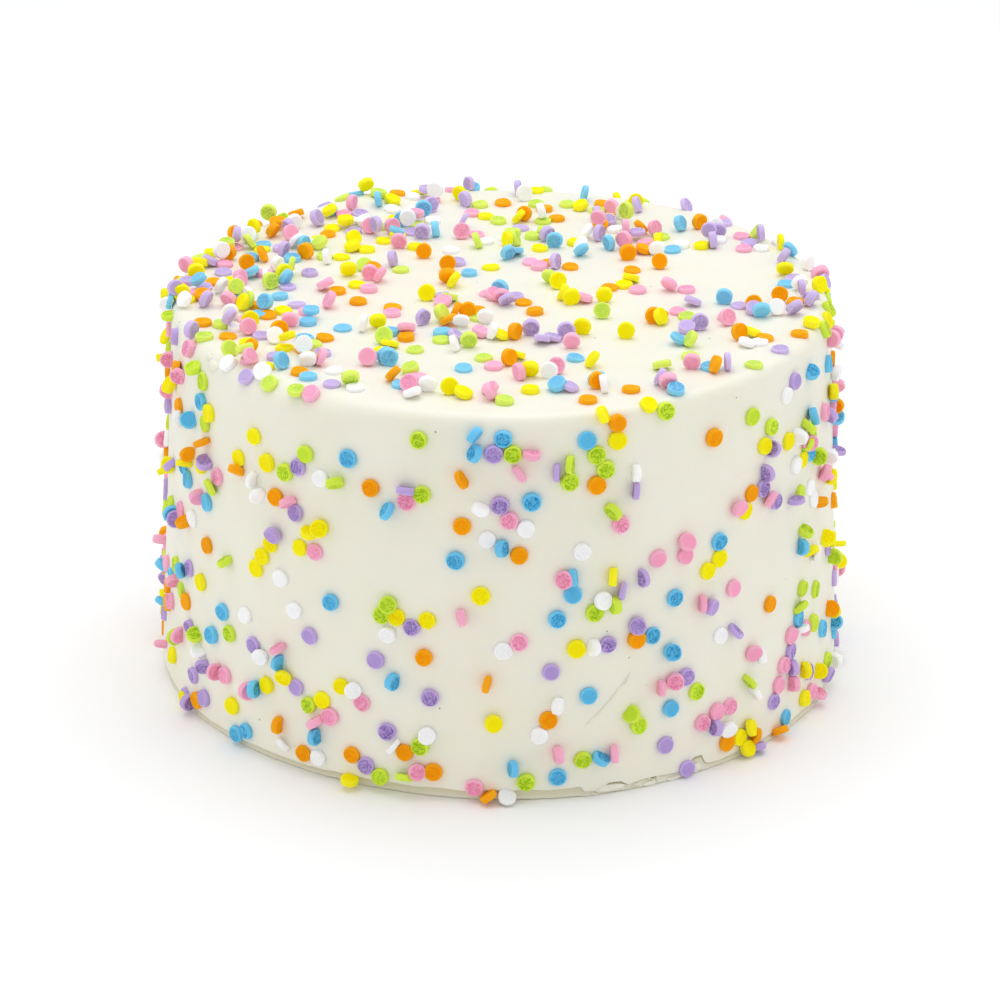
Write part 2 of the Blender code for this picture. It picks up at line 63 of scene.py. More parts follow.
# Places where the rim has slumped into a softer curve: azimuth and reach in degrees, extra rounding in mm.
SOFT_RIMS = ((-42, 24, 5.0), (95, 35, 2.0), (-150, 35, 2.0))
# Places where the foot is scraped back further: azimuth and reach in degrees, extra depth in mm.
DEEP_FOOTS = ((-24, 30, 1.6),)
# Swells and hollows of the top: x, y, height and reach in mm.
TOP_SWELLS = ((-45, 84, 3.0, 13), (38, 40, -0.6, 30), (-60, 10, 0.6, 35), (10, -60, -0.4, 28))

TURNS = 540  # faces round the coat, 1.3 mm each at the foot
WALL_ROWS = 94
RIM_ROWS = 8
TOP_ROWS = 62
# How the foot is shaped from the floor up: share of the lip's height, share of the recess, a smear left on
# it in mm, and how bare it is, with painted shade. Near 1 the buttercream is scraped off and its darker
# colour is partly painted shade of the recess; 2 is the painted shadow in the crack under the lip. The first
# value is for the scraped foot, and the second for the torn one, which is darkest in the painted shadow under
# the lip.
FOOT_ROWS = (
    (0.0, 1.0, -0.5, 0.9, 0.9), (0.08, 1.0, -0.3, 0.7, 0.4), (0.17, 1.0, 0.45, 0.4, 0.1),
    (0.29, 1.0, 0.5, 0.5, 0.1), (0.42, 1.0, 0.1, 0.8, 0.1), (0.58, 1.0, 0.0, 0.9, 0.2),
    (0.74, 1.0, 0.0, 1.0, 0.6), (0.87, 0.85, 0.0, 1.2, 1.9), (0.94, 0.1, 0.05, 0.3, 1.3),
    (1.0, 0.0, 0.15, 0.0, 0.0),
)
LIP_RAGGED = 0.5 * MM
LIP_MARGIN = 0.5 * MM  # of plain wall above the lip's edge, before the even rows start
LIP_RAG_LENGTH = 9 * MM
SMEAR_LENGTH = 13 * MM
FOOT_ROUGH, FOOT_ROUGH_LENGTH, FOOT_ROUGH_HEIGHT = 0.25 * MM, 2.5 * MM, 2 * MM
BROWN_PATCH_LENGTH = 3.5 * MM
TORN_FROM, TORN_TO = 14.5, 31.0  # degrees right of the front
# Where the lip ends above the floor: azimuth in degrees and height in mm. Right of the front it has torn.
LIP_HEIGHTS = (
    (-180, 3.4), (-60, 3.0), (-40, 3.2), (-24, 3.9), (-8, 4.1), (12.6, 3.9), (13.4, 2.0), (15.3, 2.0),
    (17.5, 4.2), (19.4, 4.3), (20.5, 2.6), (22.5, 3.4), (27.9, 3.0), (29.4, 2.7), (31.6, 4.2), (32.2, 6.2),
    (34.0, 6.2), (34.8, 2.6), (37.7, 2.3), (44, 2.8), (180, 3.4),
)


def wrapped(degrees):
    """The same angle between -180 and 180 degrees."""
    return (degrees + 180) % 360 - 180


def soft_spot(azimuth, centre, reach):
    """1 at the centre azimuth, fading to 0 a reach or two away. All in degrees."""
    away = wrapped(azimuth - centre)
    return math.exp(-((away / reach) ** 2))


def extra_at(azimuth, spots, unit=MM):
    """What soft spots, each with its extra, add up to at an azimuth in radians."""
    degrees = math.degrees(azimuth)
    return sum(extra * unit * soft_spot(degrees, centre, reach) for centre, reach, extra in spots)


def rim_rounding(azimuth):
    """Radius of the rounding between wall and top, at an azimuth in radians."""
    return RIM_ROUNDING + extra_at(azimuth, SOFT_RIMS)


def foot_recess(azimuth):
    """How far the foot is scraped back at an azimuth in radians."""
    return FOOT_RECESS + extra_at(azimuth, DEEP_FOOTS)


def nearness(x, y, middle_x, middle_y, reach):
    """1 at a middle, fading to 0 a reach or two away. The middle and the reach are in mm."""
    away = math.hypot(x - middle_x * MM, y - middle_y * MM) / (reach * MM)
    return math.exp(-away * away)


def uneven(point):
    """Moves a point of the ideal coat to where the scraper really left it."""
    azimuth = math.atan2(point.x, -point.y)
    share = point.z / HEIGHT
    outward = Vector((point.x, point.y, 0))
    out = outward.length
    wave = math.sin(3 * azimuth + 0.6 + 2 * share) + 0.6 * math.sin(5 * azimuth + 2.1 - 3 * share)
    if out > 0:
        outward *= (out + WALL_WAVE * wave * min(1.0, out / CORNER_RADIUS) ** 3) / out
    across, along = TOP_WAVE_REACHES
    rise = TOP_WAVE * math.sin(point.x / across + 0.7) * math.sin(point.y / along + 1.9)
    for x, y, height, reach in TOP_SWELLS:
        rise += height * MM * nearness(point.x, point.y, x, y, reach)
    return Vector((outward.x, outward.y, point.z + rise * max(0.0, 2 * share - 1)))


def around(azimuth, radius, height):
    """The point at an azimuth in radians, a distance from the cake's middle line and a height."""
    return Vector((radius * math.sin(azimuth), -radius * math.cos(azimuth), height))


def wall_point(azimuth, climb):
    """A point of the coat at a distance up the wall, which runs on over the rounded rim."""
    rounding = rim_rounding(azimuth)
    straight = HEIGHT - rounding
    if climb <= straight:
        return uneven(around(azimuth, BASE_RADIUS - WALL_TAPER * climb, climb))
    angle = min((climb - straight) / rounding, math.pi / 2)
    radius = CORNER_RADIUS - rounding * (1 - math.cos(angle))
    return uneven(around(azimuth, radius, straight + rounding * math.sin(angle)))


def lip_height(azimuth):
    """Height of the lip's ragged edge above the floor, at an azimuth in radians."""
    degrees = wrapped(math.degrees(azimuth))
    after = next(place for place in range(1, len(LIP_HEIGHTS)) if degrees <= LIP_HEIGHTS[place][0])
    (start, low), (end, high) = LIP_HEIGHTS[after - 1], LIP_HEIGHTS[after]
    height = low + (high - low) * (degrees - start) / (end - start)
    ragged = noise.fractal(around(azimuth, BASE_RADIUS / LIP_RAG_LENGTH, 0), 1.0, 2.0, 3)
    return height * MM + LIP_RAGGED * ragged


def foot_points(azimuth):
    """The coat's foot at one azimuth: the ragged lip, the recess below it and a smear next to the floor."""
    smear_share = 0.5 + noise.noise(around(azimuth, BASE_RADIUS / SMEAR_LENGTH, 7))
    points = []
    for height_share, recess_share, smear, _, _ in FOOT_ROWS:
        rise = height_share * lip_height(azimuth)
        place = around(azimuth, BASE_RADIUS / FOOT_ROUGH_LENGTH, rise / FOOT_ROUGH_HEIGHT)
        rough = FOOT_ROUGH * noise.noise(place)
        inward = recess_share * (foot_recess(azimuth) + rough) - smear * MM * smear_share
        points.append(uneven(around(azimuth, BASE_RADIUS - WALL_TAPER * rise - inward, rise)))
    return points


def bareness(azimuth):
    """How bare each foot row is at an azimuth, with painted shade in the recess and painted shadow under the
    lip. The torn stretch has a few brown patches.
    """
    degrees = wrapped(math.degrees(azimuth))
    torn = max(0.0, min(1.0, (degrees - TORN_FROM) / 2 + 1, (TORN_TO - degrees) / 12 + 1))
    shares = []
    for height_share, _, _, scraped_and_shaded, cracked_and_shaded in FOOT_ROWS:
        patch = noise.noise(around(azimuth, BASE_RADIUS / BROWN_PATCH_LENGTH, 3 * height_share))
        if 0.1 < height_share < 0.9:
            cracked_and_shaded += 2.5 * max(0.0, patch - 0.1)
        shares.append(scraped_and_shaded * (1 - torn) + cracked_and_shaded * torn)
    return shares


def coat_line(azimuth):
    """The coat's points at one azimuth, from the floor up the wall and in over the top."""
    points = foot_points(azimuth)
    rounding = rim_rounding(azimuth)
    foot, straight = lip_height(azimuth) + LIP_MARGIN, HEIGHT - rounding
    points += [wall_point(azimuth, foot + (straight - foot) * row / WALL_ROWS) for row in range(WALL_ROWS)]
    quarter = rounding * math.pi / 2
    points += [wall_point(azimuth, straight + quarter * row / RIM_ROWS) for row in range(RIM_ROWS)]
    flat = CORNER_RADIUS - rounding
    points += [uneven(around(azimuth, flat * (1 - row / TOP_ROWS), HEIGHT)) for row in range(TOP_ROWS)]
    return points


def linear(hex_colour):
    """An sRGB hex colour as the linear colour that a shader takes."""
    shades = [int(hex_colour[place : place + 2], 16) / 255 for place in (1, 3, 5)]
    light = [shade / 12.92 if shade <= 0.04045 else ((shade + 0.055) / 1.055) ** 2.4 for shade in shades]
    return (*light, 1.0)


def add(tree, kind, inputs=None, **settings):
    """Adds a node with its settings. An input is given a value, a socket, or a node for its first output."""
    node = tree.nodes.new(kind)
    for name, value in settings.items():
        setattr(node, name, value)
    for name, value in (inputs or {}).items():
        if isinstance(value, bpy.types.Node):
            value = value.outputs[0]
        if isinstance(value, bpy.types.NodeSocket):
            tree.links.new(value, node.inputs[name])
        else:
            node.inputs[name].default_value = value
    return node


def new_material(name):
    """An empty material and its node tree."""
    material = bpy.data.materials.new(name)
    material.use_nodes = True
    material.node_tree.nodes.clear()
    return material, material.node_tree


def end_material(tree, finish):
    """Ends a material's tree with its shader, which has this finish."""
    shader = add(tree, "ShaderNodeBsdfPrincipled", finish)
    add(tree, "ShaderNodeOutputMaterial", {"Surface": shader})


def bake(thing):
    """Turns an object's modifiers into plain mesh."""
    mesh = bpy.data.meshes.new_from_object(thing.evaluated_get(bpy.context.evaluated_depsgraph_get()))
    thing.modifiers.clear()
    thing.data = mesh


def write_on(mesh, attribute, kind, values):
    """Stores values on the points of a mesh, all in one row."""
    field = {"FLOAT": "value", "FLOAT_VECTOR": "vector", "FLOAT_COLOR": "color"}[kind]
    mesh.attributes.new(attribute, kind, "POINT").data.foreach_set(field, values)


def new_mesh(name, points, faces):
    """A smooth mesh from its points and faces."""
    mesh = bpy.data.meshes.new(name)
    mesh.from_pydata(points, [], faces)
    mesh.shade_smooth()
    return mesh


def new_object(name, data):
    """A new object in the scene, for a mesh, a light or a camera."""
    thing = bpy.data.objects.new(name, data)
    bpy.context.scene.collection.objects.link(thing)
    return thing


def hand_over(piece):
    """Makes a finished piece part of the cake."""
    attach(piece, "root")


def make_coat_mesh():
    """A closed grid: a line of points for each azimuth, and a middle point on the top and underneath."""
    lines = [coat_line(math.tau * turn / TURNS) for turn in range(TURNS)]
    rows = len(lines[0])
    vertices = [point for line in lines for point in line]
    top_middle = len(vertices)
    vertices.append(uneven(Vector((0, 0, HEIGHT))))
    vertices.append(Vector((0, 0, 0)))
    faces = []
    for turn in range(TURNS):
        here, there = turn * rows, (turn + 1) % TURNS * rows
        faces += [(here + row, there + row, there + row + 1, here + row + 1) for row in range(rows - 1)]
        faces.append((here + rows - 1, there + rows - 1, top_middle))
        faces.append((there, here, top_middle + 1))
    mesh = new_mesh("buttercream_coat", vertices, faces)
    bare_and_shade = []
    for turn in range(TURNS):
        bare_and_shade += bareness(math.tau * turn / TURNS) + [0.0] * (rows - len(FOOT_ROWS))
    write_on(mesh, "bare_and_shade", "FLOAT", bare_and_shade + [0.0, 1.0])
    return mesh


# Buttercream: butter and icing sugar, a soft matt fat that light sinks into, which rounds off its shadows
# and warms them. Its face shows faint level strokes of the scraper, fine sugar grain and a few air bubbles.
STROKE_SPACING = 1.1 * MM
STROKE_LENGTH = 45 * MM
STROKE_DEPTH = 0.06 * MM
GRAIN_SIZE = 0.8 * MM
GRAIN_DEPTH = 0.04 * MM
CLOUD_SIZE = 28 * MM  # of the patches that are a little darker
BUBBLE_SPACING = 10 * MM
BUBBLE_RADIUS = 0.25 * MM
BUBBLE_EDGE = (0.6, 1.4)  # shares of its radius between which a bubble fades out
BUBBLE_DEPTH = 0.3 * MM
LIGHT_DEPTH = 2.5 * MM  # how far light sinks in

buttercream, tree = new_material("buttercream_whipped")
place = add(tree, "ShaderNodeTexCoord").outputs["Object"]
stretch = (1 / STROKE_LENGTH, 1 / STROKE_LENGTH, 1 / STROKE_SPACING)
stroke_place = add(tree, "ShaderNodeMapping", {"Vector": place, "Scale": stretch})
strokes = add(tree, "ShaderNodeTexNoise", {"Vector": stroke_place, "Scale": 1.0, "Detail": 3.0})
grain = add(tree, "ShaderNodeTexNoise", {"Vector": place, "Scale": 1 / GRAIN_SIZE, "Detail": 2.0})
cloud = add(tree, "ShaderNodeTexNoise", {"Vector": place, "Scale": 1 / CLOUD_SIZE, "Detail": 2.0})
bubbles = add(tree, "ShaderNodeTexVoronoi", {"Vector": place, "Scale": 1 / BUBBLE_SPACING})
edge_start, edge_end = (share * BUBBLE_RADIUS / BUBBLE_SPACING for share in BUBBLE_EDGE)
edge = {1: edge_start, 2: edge_end, 3: 1.0, 4: 0.0}
inside_bubble = add(tree, "ShaderNodeMapRange", {"Value": bubbles, **edge})
bare_and_shade = add(tree, "ShaderNodeAttribute", attribute_name="bare_and_shade")
crack_shadow_and_brown = add(tree, "ShaderNodeMath", {0: bare_and_shade.outputs["Fac"], 1: 1.0}, operation="SUBTRACT")
# The sprinkles' section writes this attribute: painted bounce light, their colour on the buttercream near
# them.
dye = add(tree, "ShaderNodeAttribute", attribute_name="dye")
# Where the scraper took most of the coat off, what is left is thin, greasy and darker, with painted shade of
# the recess in it too; the crack under the lip and the fold's lower side are painted brown for their shadow,
# and a few patches of the torn stretch are brown.
colour = linear("#F4F2E4")
for share, over in (
    (cloud, linear("#EEEBD9")), (bare_and_shade.outputs["Fac"], linear("#DDD8BC")),
    (crack_shadow_and_brown, linear("#9C9060")), (inside_bubble, linear("#A89A72")),
    (dye.outputs["Alpha"], dye.outputs["Color"]),
):
    mix = add(tree, "ShaderNodeMix", {"Factor": share, "A": colour, "B": over}, data_type="RGBA")
    colour = mix.outputs["Result"]
bump = add(tree, "ShaderNodeBump", {"Height": strokes, "Distance": STROKE_DEPTH})
for height, depth in ((grain, GRAIN_DEPTH), (inside_bubble, -BUBBLE_DEPTH)):
    bump = add(tree, "ShaderNodeBump", {"Height": height, "Distance": depth, "Normal": bump})
finish = {
    "Base Color": colour, "Normal": bump, "Roughness": 0.5, "IOR": 1.45, "Subsurface Weight": 0.35,
    "Subsurface Radius": (1.0, 0.85, 0.55), "Subsurface Scale": LIGHT_DEPTH,
}
end_material(tree, finish)

coat = new_object("buttercream_coat", make_coat_mesh())
coat.data.materials.append(buttercream)

# Scraps of the same buttercream: the foot tore right of the front, where flakes hang off and crumbs stuck,
# the scraper's corner left a thin fold in the wall above it, and a soft lump stands up from the rim on the
# left. Each is too thin for light to sink into.
CRUMBS = 60
CRUMB_RADII = (0.2, 0.65)  # mm
CRUMBS_UP_TO = 2.4  # mm above the floor
CRUMBS_SUNK = (0.3, 0.8)  # mm, in from the wall's line
CRUMB_WOBBLE, CRUMB_WOBBLE_SIZE = 0.9 * MM, 1.2 * MM
# Flakes at the foot, then the parts of the rim's lump: azimuth in degrees, distance up the wall, half
# length, half height and half thickness in mm.
FLAKES = (
    (17.6, 2.0, 5.0, 1.3, 0.7), (24.4, 0.9, 2.2, 0.8, 0.6), (29.0, 0.8, 3.0, 0.7, 0.5),
    (33.2, 2.0, 1.8, 1.6, 0.4), (-57.2, 121.0, 2.9, 1.7, 1.6), (-54.6, 122.6, 1.8, 1.3, 1.4),
    (-59.6, 122.4, 1.7, 1.2, 1.3),
)
FLAKE_SUNK = 0.5 * MM
# The fold's start, middle and end: azimuth in degrees and height in mm.
FOLD = ((13.4, 24.4), (17.7, 32.2), (21.0, 40.1))
FOLD_WIDTH, FOLD_RISE = 1.0, 0.35  # mm
FOLD_CREST = 0.6  # share of its width at which it is highest
FOLD_SUNK = (0.1, 0.03)  # mm, how deep its upper and lower edge lie in the wall
FOLD_SLANT = -0.6  # how far it opens downwards
FOLD_STEPS = 30
# What each tree that strews things takes, besides the points.
STREWN = {"Wobble": "Float", "Wobble size": "Float", "Stuff": "Material"}


def new_tree(name, sockets):
    """A geometry node tree that takes points and the named sockets, and the outputs that these come from."""
    tree = bpy.data.node_groups.new(name, "GeometryNodeTree")
    tree.interface.new_socket("Geometry", in_out="OUTPUT", socket_type="NodeSocketGeometry")
    tree.interface.new_socket("Points", in_out="INPUT", socket_type="NodeSocketGeometry")
    for socket, kind in sockets.items():
        tree.interface.new_socket(socket, in_out="INPUT", socket_type=f"NodeSocket{kind}")
    return tree, add(tree, "NodeGroupInput").outputs


def strew(tree, given, shape):
    """Puts the shape on each point, turned and sized by the point's attributes, and bends it out of true."""
    turn = add(tree, "GeometryNodeInputNamedAttribute", {"Name": "turn"}, data_type="FLOAT_VECTOR")
    size = add(tree, "GeometryNodeInputNamedAttribute", {"Name": "size"}, data_type="FLOAT_VECTOR")
    placed = add(
        tree, "GeometryNodeInstanceOnPoints",
        {"Points": given["Points"], "Instance": shape, "Rotation": turn, "Scale": size},
    )
    real = add(tree, "GeometryNodeRealizeInstances", {"Geometry": placed})
    frequency = add(tree, "ShaderNodeMath", {0: 1.0, 1: given["Wobble size"]}, operation="DIVIDE")
    drift = add(tree, "ShaderNodeTexNoise", {"Scale": frequency, "Detail": 1.0})
    centred = add(
        tree, "ShaderNodeVectorMath", {0: drift.outputs["Color"], 1: (0.5, 0.5, 0.5)}, operation="SUBTRACT",
    )
    push = add(tree, "ShaderNodeVectorMath", {0: centred, "Scale": given["Wobble"]}, operation="SCALE")
    wobbled = add(tree, "GeometryNodeSetPosition", {"Geometry": real, "Offset": push})
    coloured = add(tree, "GeometryNodeSetMaterial", {"Geometry": wobbled, "Material": given["Stuff"]})
    add(tree, "NodeGroupOutput", {"Geometry": coloured})


def run_tree(piece, tree, values):
    """Runs a geometry node tree on a piece, with values for its named sockets, and keeps the result."""
    modifier = piece.modifiers.new(tree.name, "NODES")
    modifier.node_group = tree
    for item in tree.interface.items_tree:
        if item.name in values:
            modifier[item.identifier] = values[item.name]
    bake(piece)


def make_points(name, places, turns, sizes):
    """A mesh of loose points, each with how it is turned and sized."""
    mesh = new_mesh(name, places, [])
    for attribute, triples in (("turn", turns), ("size", sizes)):
        write_on(mesh, attribute, "FLOAT_VECTOR", [value for triple in triples for value in triple])
    return mesh


def make_crumbs():
    """Points for the round crumbs over the torn stretch, the flakes along it and the rim's lump."""
    draw = random.Random(5)
    places, turns, sizes = [], [], []
    for _ in range(CRUMBS):
        azimuth = math.radians(draw.uniform(TORN_FROM, TORN_TO))
        radius = draw.uniform(*CRUMB_RADII) * MM
        height = radius + draw.triangular(0, CRUMBS_UP_TO, 0) * MM
        places.append(around(azimuth, BASE_RADIUS - draw.uniform(*CRUMBS_SUNK) * MM, height))
        turns.append([draw.uniform(0, math.tau) for _ in range(3)])
        sizes.append((radius, 0.8 * radius, 0.7 * radius))
    for degrees, climb, length, rise, thickness in FLAKES:
        azimuth = math.radians(degrees)
        places.append(wall_point(azimuth, climb * MM) - around(azimuth, FLAKE_SUNK, 0))
        turns.append((0, 0, azimuth))
        sizes.append((length * MM, thickness * MM, rise * MM))
    return make_points("buttercream_crumbs", places, turns, sizes)


def make_fold():
    """A thin ridge: two lines of points on the wall and a raised one between, its lower side painted brown
    for shadow.
    """
    points, faces = [], []
    for step in range(FOLD_STEPS + 1):
        share = step / FOLD_STEPS
        weights = ((1 - share) ** 2, 2 * share * (1 - share), share**2)
        degrees, climb = (sum(w * place[axis] for w, place in zip(weights, FOLD)) for axis in (0, 1))
        azimuth = math.radians(degrees)
        point, out = wall_point(azimuth, climb * MM), around(azimuth, 1, 0)
        across = Vector((math.cos(azimuth), math.sin(azimuth), FOLD_SLANT)).normalized()
        swell = math.sin(math.pi * share) ** 0.5 * (0.8 + 1.2 * noise.noise(point / (2.5 * MM)))
        points.append(point - FOLD_SUNK[0] * MM * out)
        points.append(point + FOLD_CREST * FOLD_WIDTH * swell * MM * across + FOLD_RISE * swell * MM * out)
        points.append(point + FOLD_WIDTH * swell * MM * across - FOLD_SUNK[1] * MM * out)
        if step:
            last = len(points) - 6
            faces.append((last, last + 3, last + 4, last + 1))
            faces.append((last + 1, last + 4, last + 5, last + 2))
    mesh = new_mesh("buttercream_fold", points, faces)
    # The ridge's lower edge is painted brown for the shadow under it.
    write_on(mesh, "bare_and_shade", "FLOAT", [0.0, 0.7, 2.0] * (FOLD_STEPS + 1))
    return mesh


thin_buttercream = buttercream.copy()
thin_buttercream.name = "buttercream_thin"
thin_buttercream.node_tree.nodes["Principled BSDF"].inputs["Subsurface Weight"].default_value = 0.0

crumb_tree, given = new_tree("crumbs", STREWN)
ball = add(crumb_tree, "GeometryNodeMeshIcoSphere", {"Radius": 1.0, "Subdivisions": 3})
smooth_ball = add(crumb_tree, "GeometryNodeSetShadeSmooth", {"Geometry": ball})
strew(crumb_tree, given, smooth_ball)
crumbs = new_object("buttercream_crumbs", make_crumbs())
run_tree(
    crumbs, crumb_tree,
    {"Wobble": CRUMB_WOBBLE, "Wobble size": CRUMB_WOBBLE_SIZE, "Stuff": thin_buttercream},
)
fold = new_object("buttercream_fold", make_fold())
fold.data.materials.append(thin_buttercream)
for scrap in (crumbs, fold):
    write_on(scrap.data, "dye", "FLOAT_COLOR", (1.0, 1.0, 1.0, 0.0) * len(scrap.data.vertices))
    hand_over(scrap)

# The sprinkles are confetti quins: dyed icing sugar rolled out, punched into discs of 5.5 mm and dried. A
# punched face is pitted inside a smooth rim. They were thrown on while the buttercream was soft, so most
# lie flat in it, some lean on a neighbour, and some stand on edge.
SPRINKLE_DIAMETER = 5.5 * MM
SPRINKLE_THICKNESS = 1.95 * MM
RADIUS_SPREAD = (0.95, 1.04)
THICKNESS_SPREAD = (0.82, 1.3)
# Degrees by which one leans that stands on edge, lies on a neighbour or lies flat.
STANDING_LEANS, PROPPED_LEANS, FLAT_LEANS = (-38, 38), (18, 34), (0, 9)
# How far the middle of one on edge stays out of the buttercream, as a share of its radius. What falls on
# the top, where the outward direction points more up than this, stays higher than on the wall.
OUT_OF_TOP, OUT_OF_WALL = (0.68, 0.88), (0.35, 0.7)
UPWARD = 0.7
OUT_WHEN_FLAT = (0.05, 0.3)  # the same for one that lies flat, as a share of its thickness
ROOM_SHARE = 0.9  # of the room between two sprinkles that just touch, which they need to keep
FLOOR_GAP = 0.4 * MM  # what the lowest sprinkles keep to the surface that the cake stands on
PILE_STEP = 0.6 * MM  # by how much a sprinkle on a pile is raised at a time until it has room
PAST_RIM = 1 * MM  # by how much the middle of a loose one may lie past the top or the wall
WALL_SPRINKLES = 820
TOP_SPRINKLES = 450
SEED = 22

COLOUR_SHARES = {"pink": 18, "yellow": 16, "purple": 15, "green": 15, "blue": 13, "white": 12, "orange": 11}

# Sprinkles fell in little chains, each one touching the one before it. A chain starts at an azimuth in
# degrees and a height in mm. Then its words name the colours, @ the clock hour at which a sprinkle lies
# from the last one, seen from outside. A plain word lies flat, ^ leans on its neighbour, and / stands on
# edge along the stroke that the hour after it points to.
WALL_CHAINS = (
    "14 116 blue green@5 green@5 orange@7", "19 115 yellow orange@12 yellow/12@10",
    "-1 113 purple blue@1 green@5 pink/3@3", "3 107 pink/5", "-4 119 blue/1 blue/1@6",
    "0 97 purple pink@5 white@4", "-2 86 white blue/12@4", "3 53 pink white@8",
    "-19 59 green green^@1 yellow@5 purple@4 yellow@2", "10 73 pink^ blue/12@3 blue@6",
    "18 72 yellow/12 purple/12@5", "15 61 green white^@1 green/12@4", "12 50 yellow white/1@3 purple@3",
    "22 55 purple^ orange@6 blue@3", "18 93 green/11 pink@5", "22 104 white/12 purple/12@6",
    "9 107 purple/12 green/12@2 green@6", "-15 100 purple/3 pink@6 green@2", "-54 87 pink green^@7",
    "-48 93 orange/3 yellow@12", "-37 98 green purple@2 green@1", "-30 99 white green/2@3",
    "-39 89 orange pink/2@3 purple@5", "-44 92 white/12 white/1@5", "-32 81 yellow/3 yellow^@2",
    "-34 75 yellow pink@3", "-39 77 purple^ yellow@7", "-42 68 yellow yellow@7",
    "-69 21 green/12 pink/12@2", "-44 37 purple white^@4", "-38 40 pink/2 blue/12@6 yellow^@5 purple@4",
    "-45 21 pink/12 blue/12@2 yellow@2", "-53 22 pink/12 pink@3", "-62 4 purple/12 orange@2 purple@2",
    "-32 24 green yellow@2", "-26 33 yellow white^@3 pink@5", "-28 22 pink pink/2@8 blue/12@6",
    "-33 7 orange white@3", "-48 4 blue blue@2", "-24 11 orange purple@4 green@4",
    "-18 21 purple white/1@5 orange@4 green@2 white^@1", "-15 7 green/3 pink^@2 orange@3",
    "9 32 white/12 orange@7 white@7", "13 13 green blue/4@3", "-4 5 pink orange/2@4 white/3@3",
    "21 26 green/1 green@5", "34 57 pink/12 purple^@4", "38 75 blue yellow@6 yellow@8",
    "38 44 white purple/4@3", "45 34 pink^ white/12@4", "31 34 purple pink^@9", "26 33 pink/12",
    "28 25 blue", "44 25 green/11 white/11@5", "34 17 pink purple/12@4", "37 19 pink pink@3",
    "39 12 white^ orange@6 yellow@3 yellow^@2 orange/1@5", "43 2 yellow^ purple/3@3",
    "54 5 blue orange/3@8", "52 18 pink purple@7", "56 32 pink purple@6 pink@8 purple/12@4 pink/12@6",
    "60 17 yellow/12 purple@4", "60 7 yellow pink@3 pink/3@4", "49 100 yellow purple/1@4",
    "59 97 white/11 yellow@9", "67 85 green/12 blue@10 yellow@9 white@9", "31 74 pink pink^@12",
    "25 124 yellow green@4", "42 84 pink^ yellow@4 orange@1 purple@3 pink^@5 purple@4",
    "61 64 green/3 blue/12@7", "-6 105 orange/11", "-3 96 white/4", "5 98 blue", "-6 90 orange",
    "3 81 orange", "-7 79 blue", "-3 68 yellow", "-6 61 pink/12", "-12 47 orange", "9 60 blue",
    "8 43 purple", "13 81 white", "-13 116 green", "-18 93 blue/1", "-18 53 white", "-25 107 blue",
    "-21 99 orange", "-41 99 yellow", "-44 106 yellow", "-38 63 white", "-28 60 blue", "-32 47 purple",
    "-20 44 purple", "-17 38 blue/12", "-11 34 purple", "-2 40 orange/12", "-1 27 yellow^", "14 34 blue",
    "9 16 pink/12", "9 8 blue", "18 14 pink/12", "2 12 blue/12", "4 7 green", "29 61 blue",
    "23 70 purple/12", "41 58 pink", "50 47 orange", "28 44 blue^", "33 28 green", "27 13 purple",
    "31 2.5 purple", "37 109 orange", "46 111 green", "51 105 green", "49 91 purple/12", "26 75 pink",
    "66 40 green", "-35 54 white", "-46 46 white", "-52 43 blue", "-59 48 yellow", "-55 33 blue",
    "-50 37 green", "-49 13 yellow", "-38 14 orange/12", "-37 8 white/4", "-24 3 yellow/3",
    "-57 106 yellow", "-58 96 orange/2", "-57 62 orange", "-51 61 green/2",
)
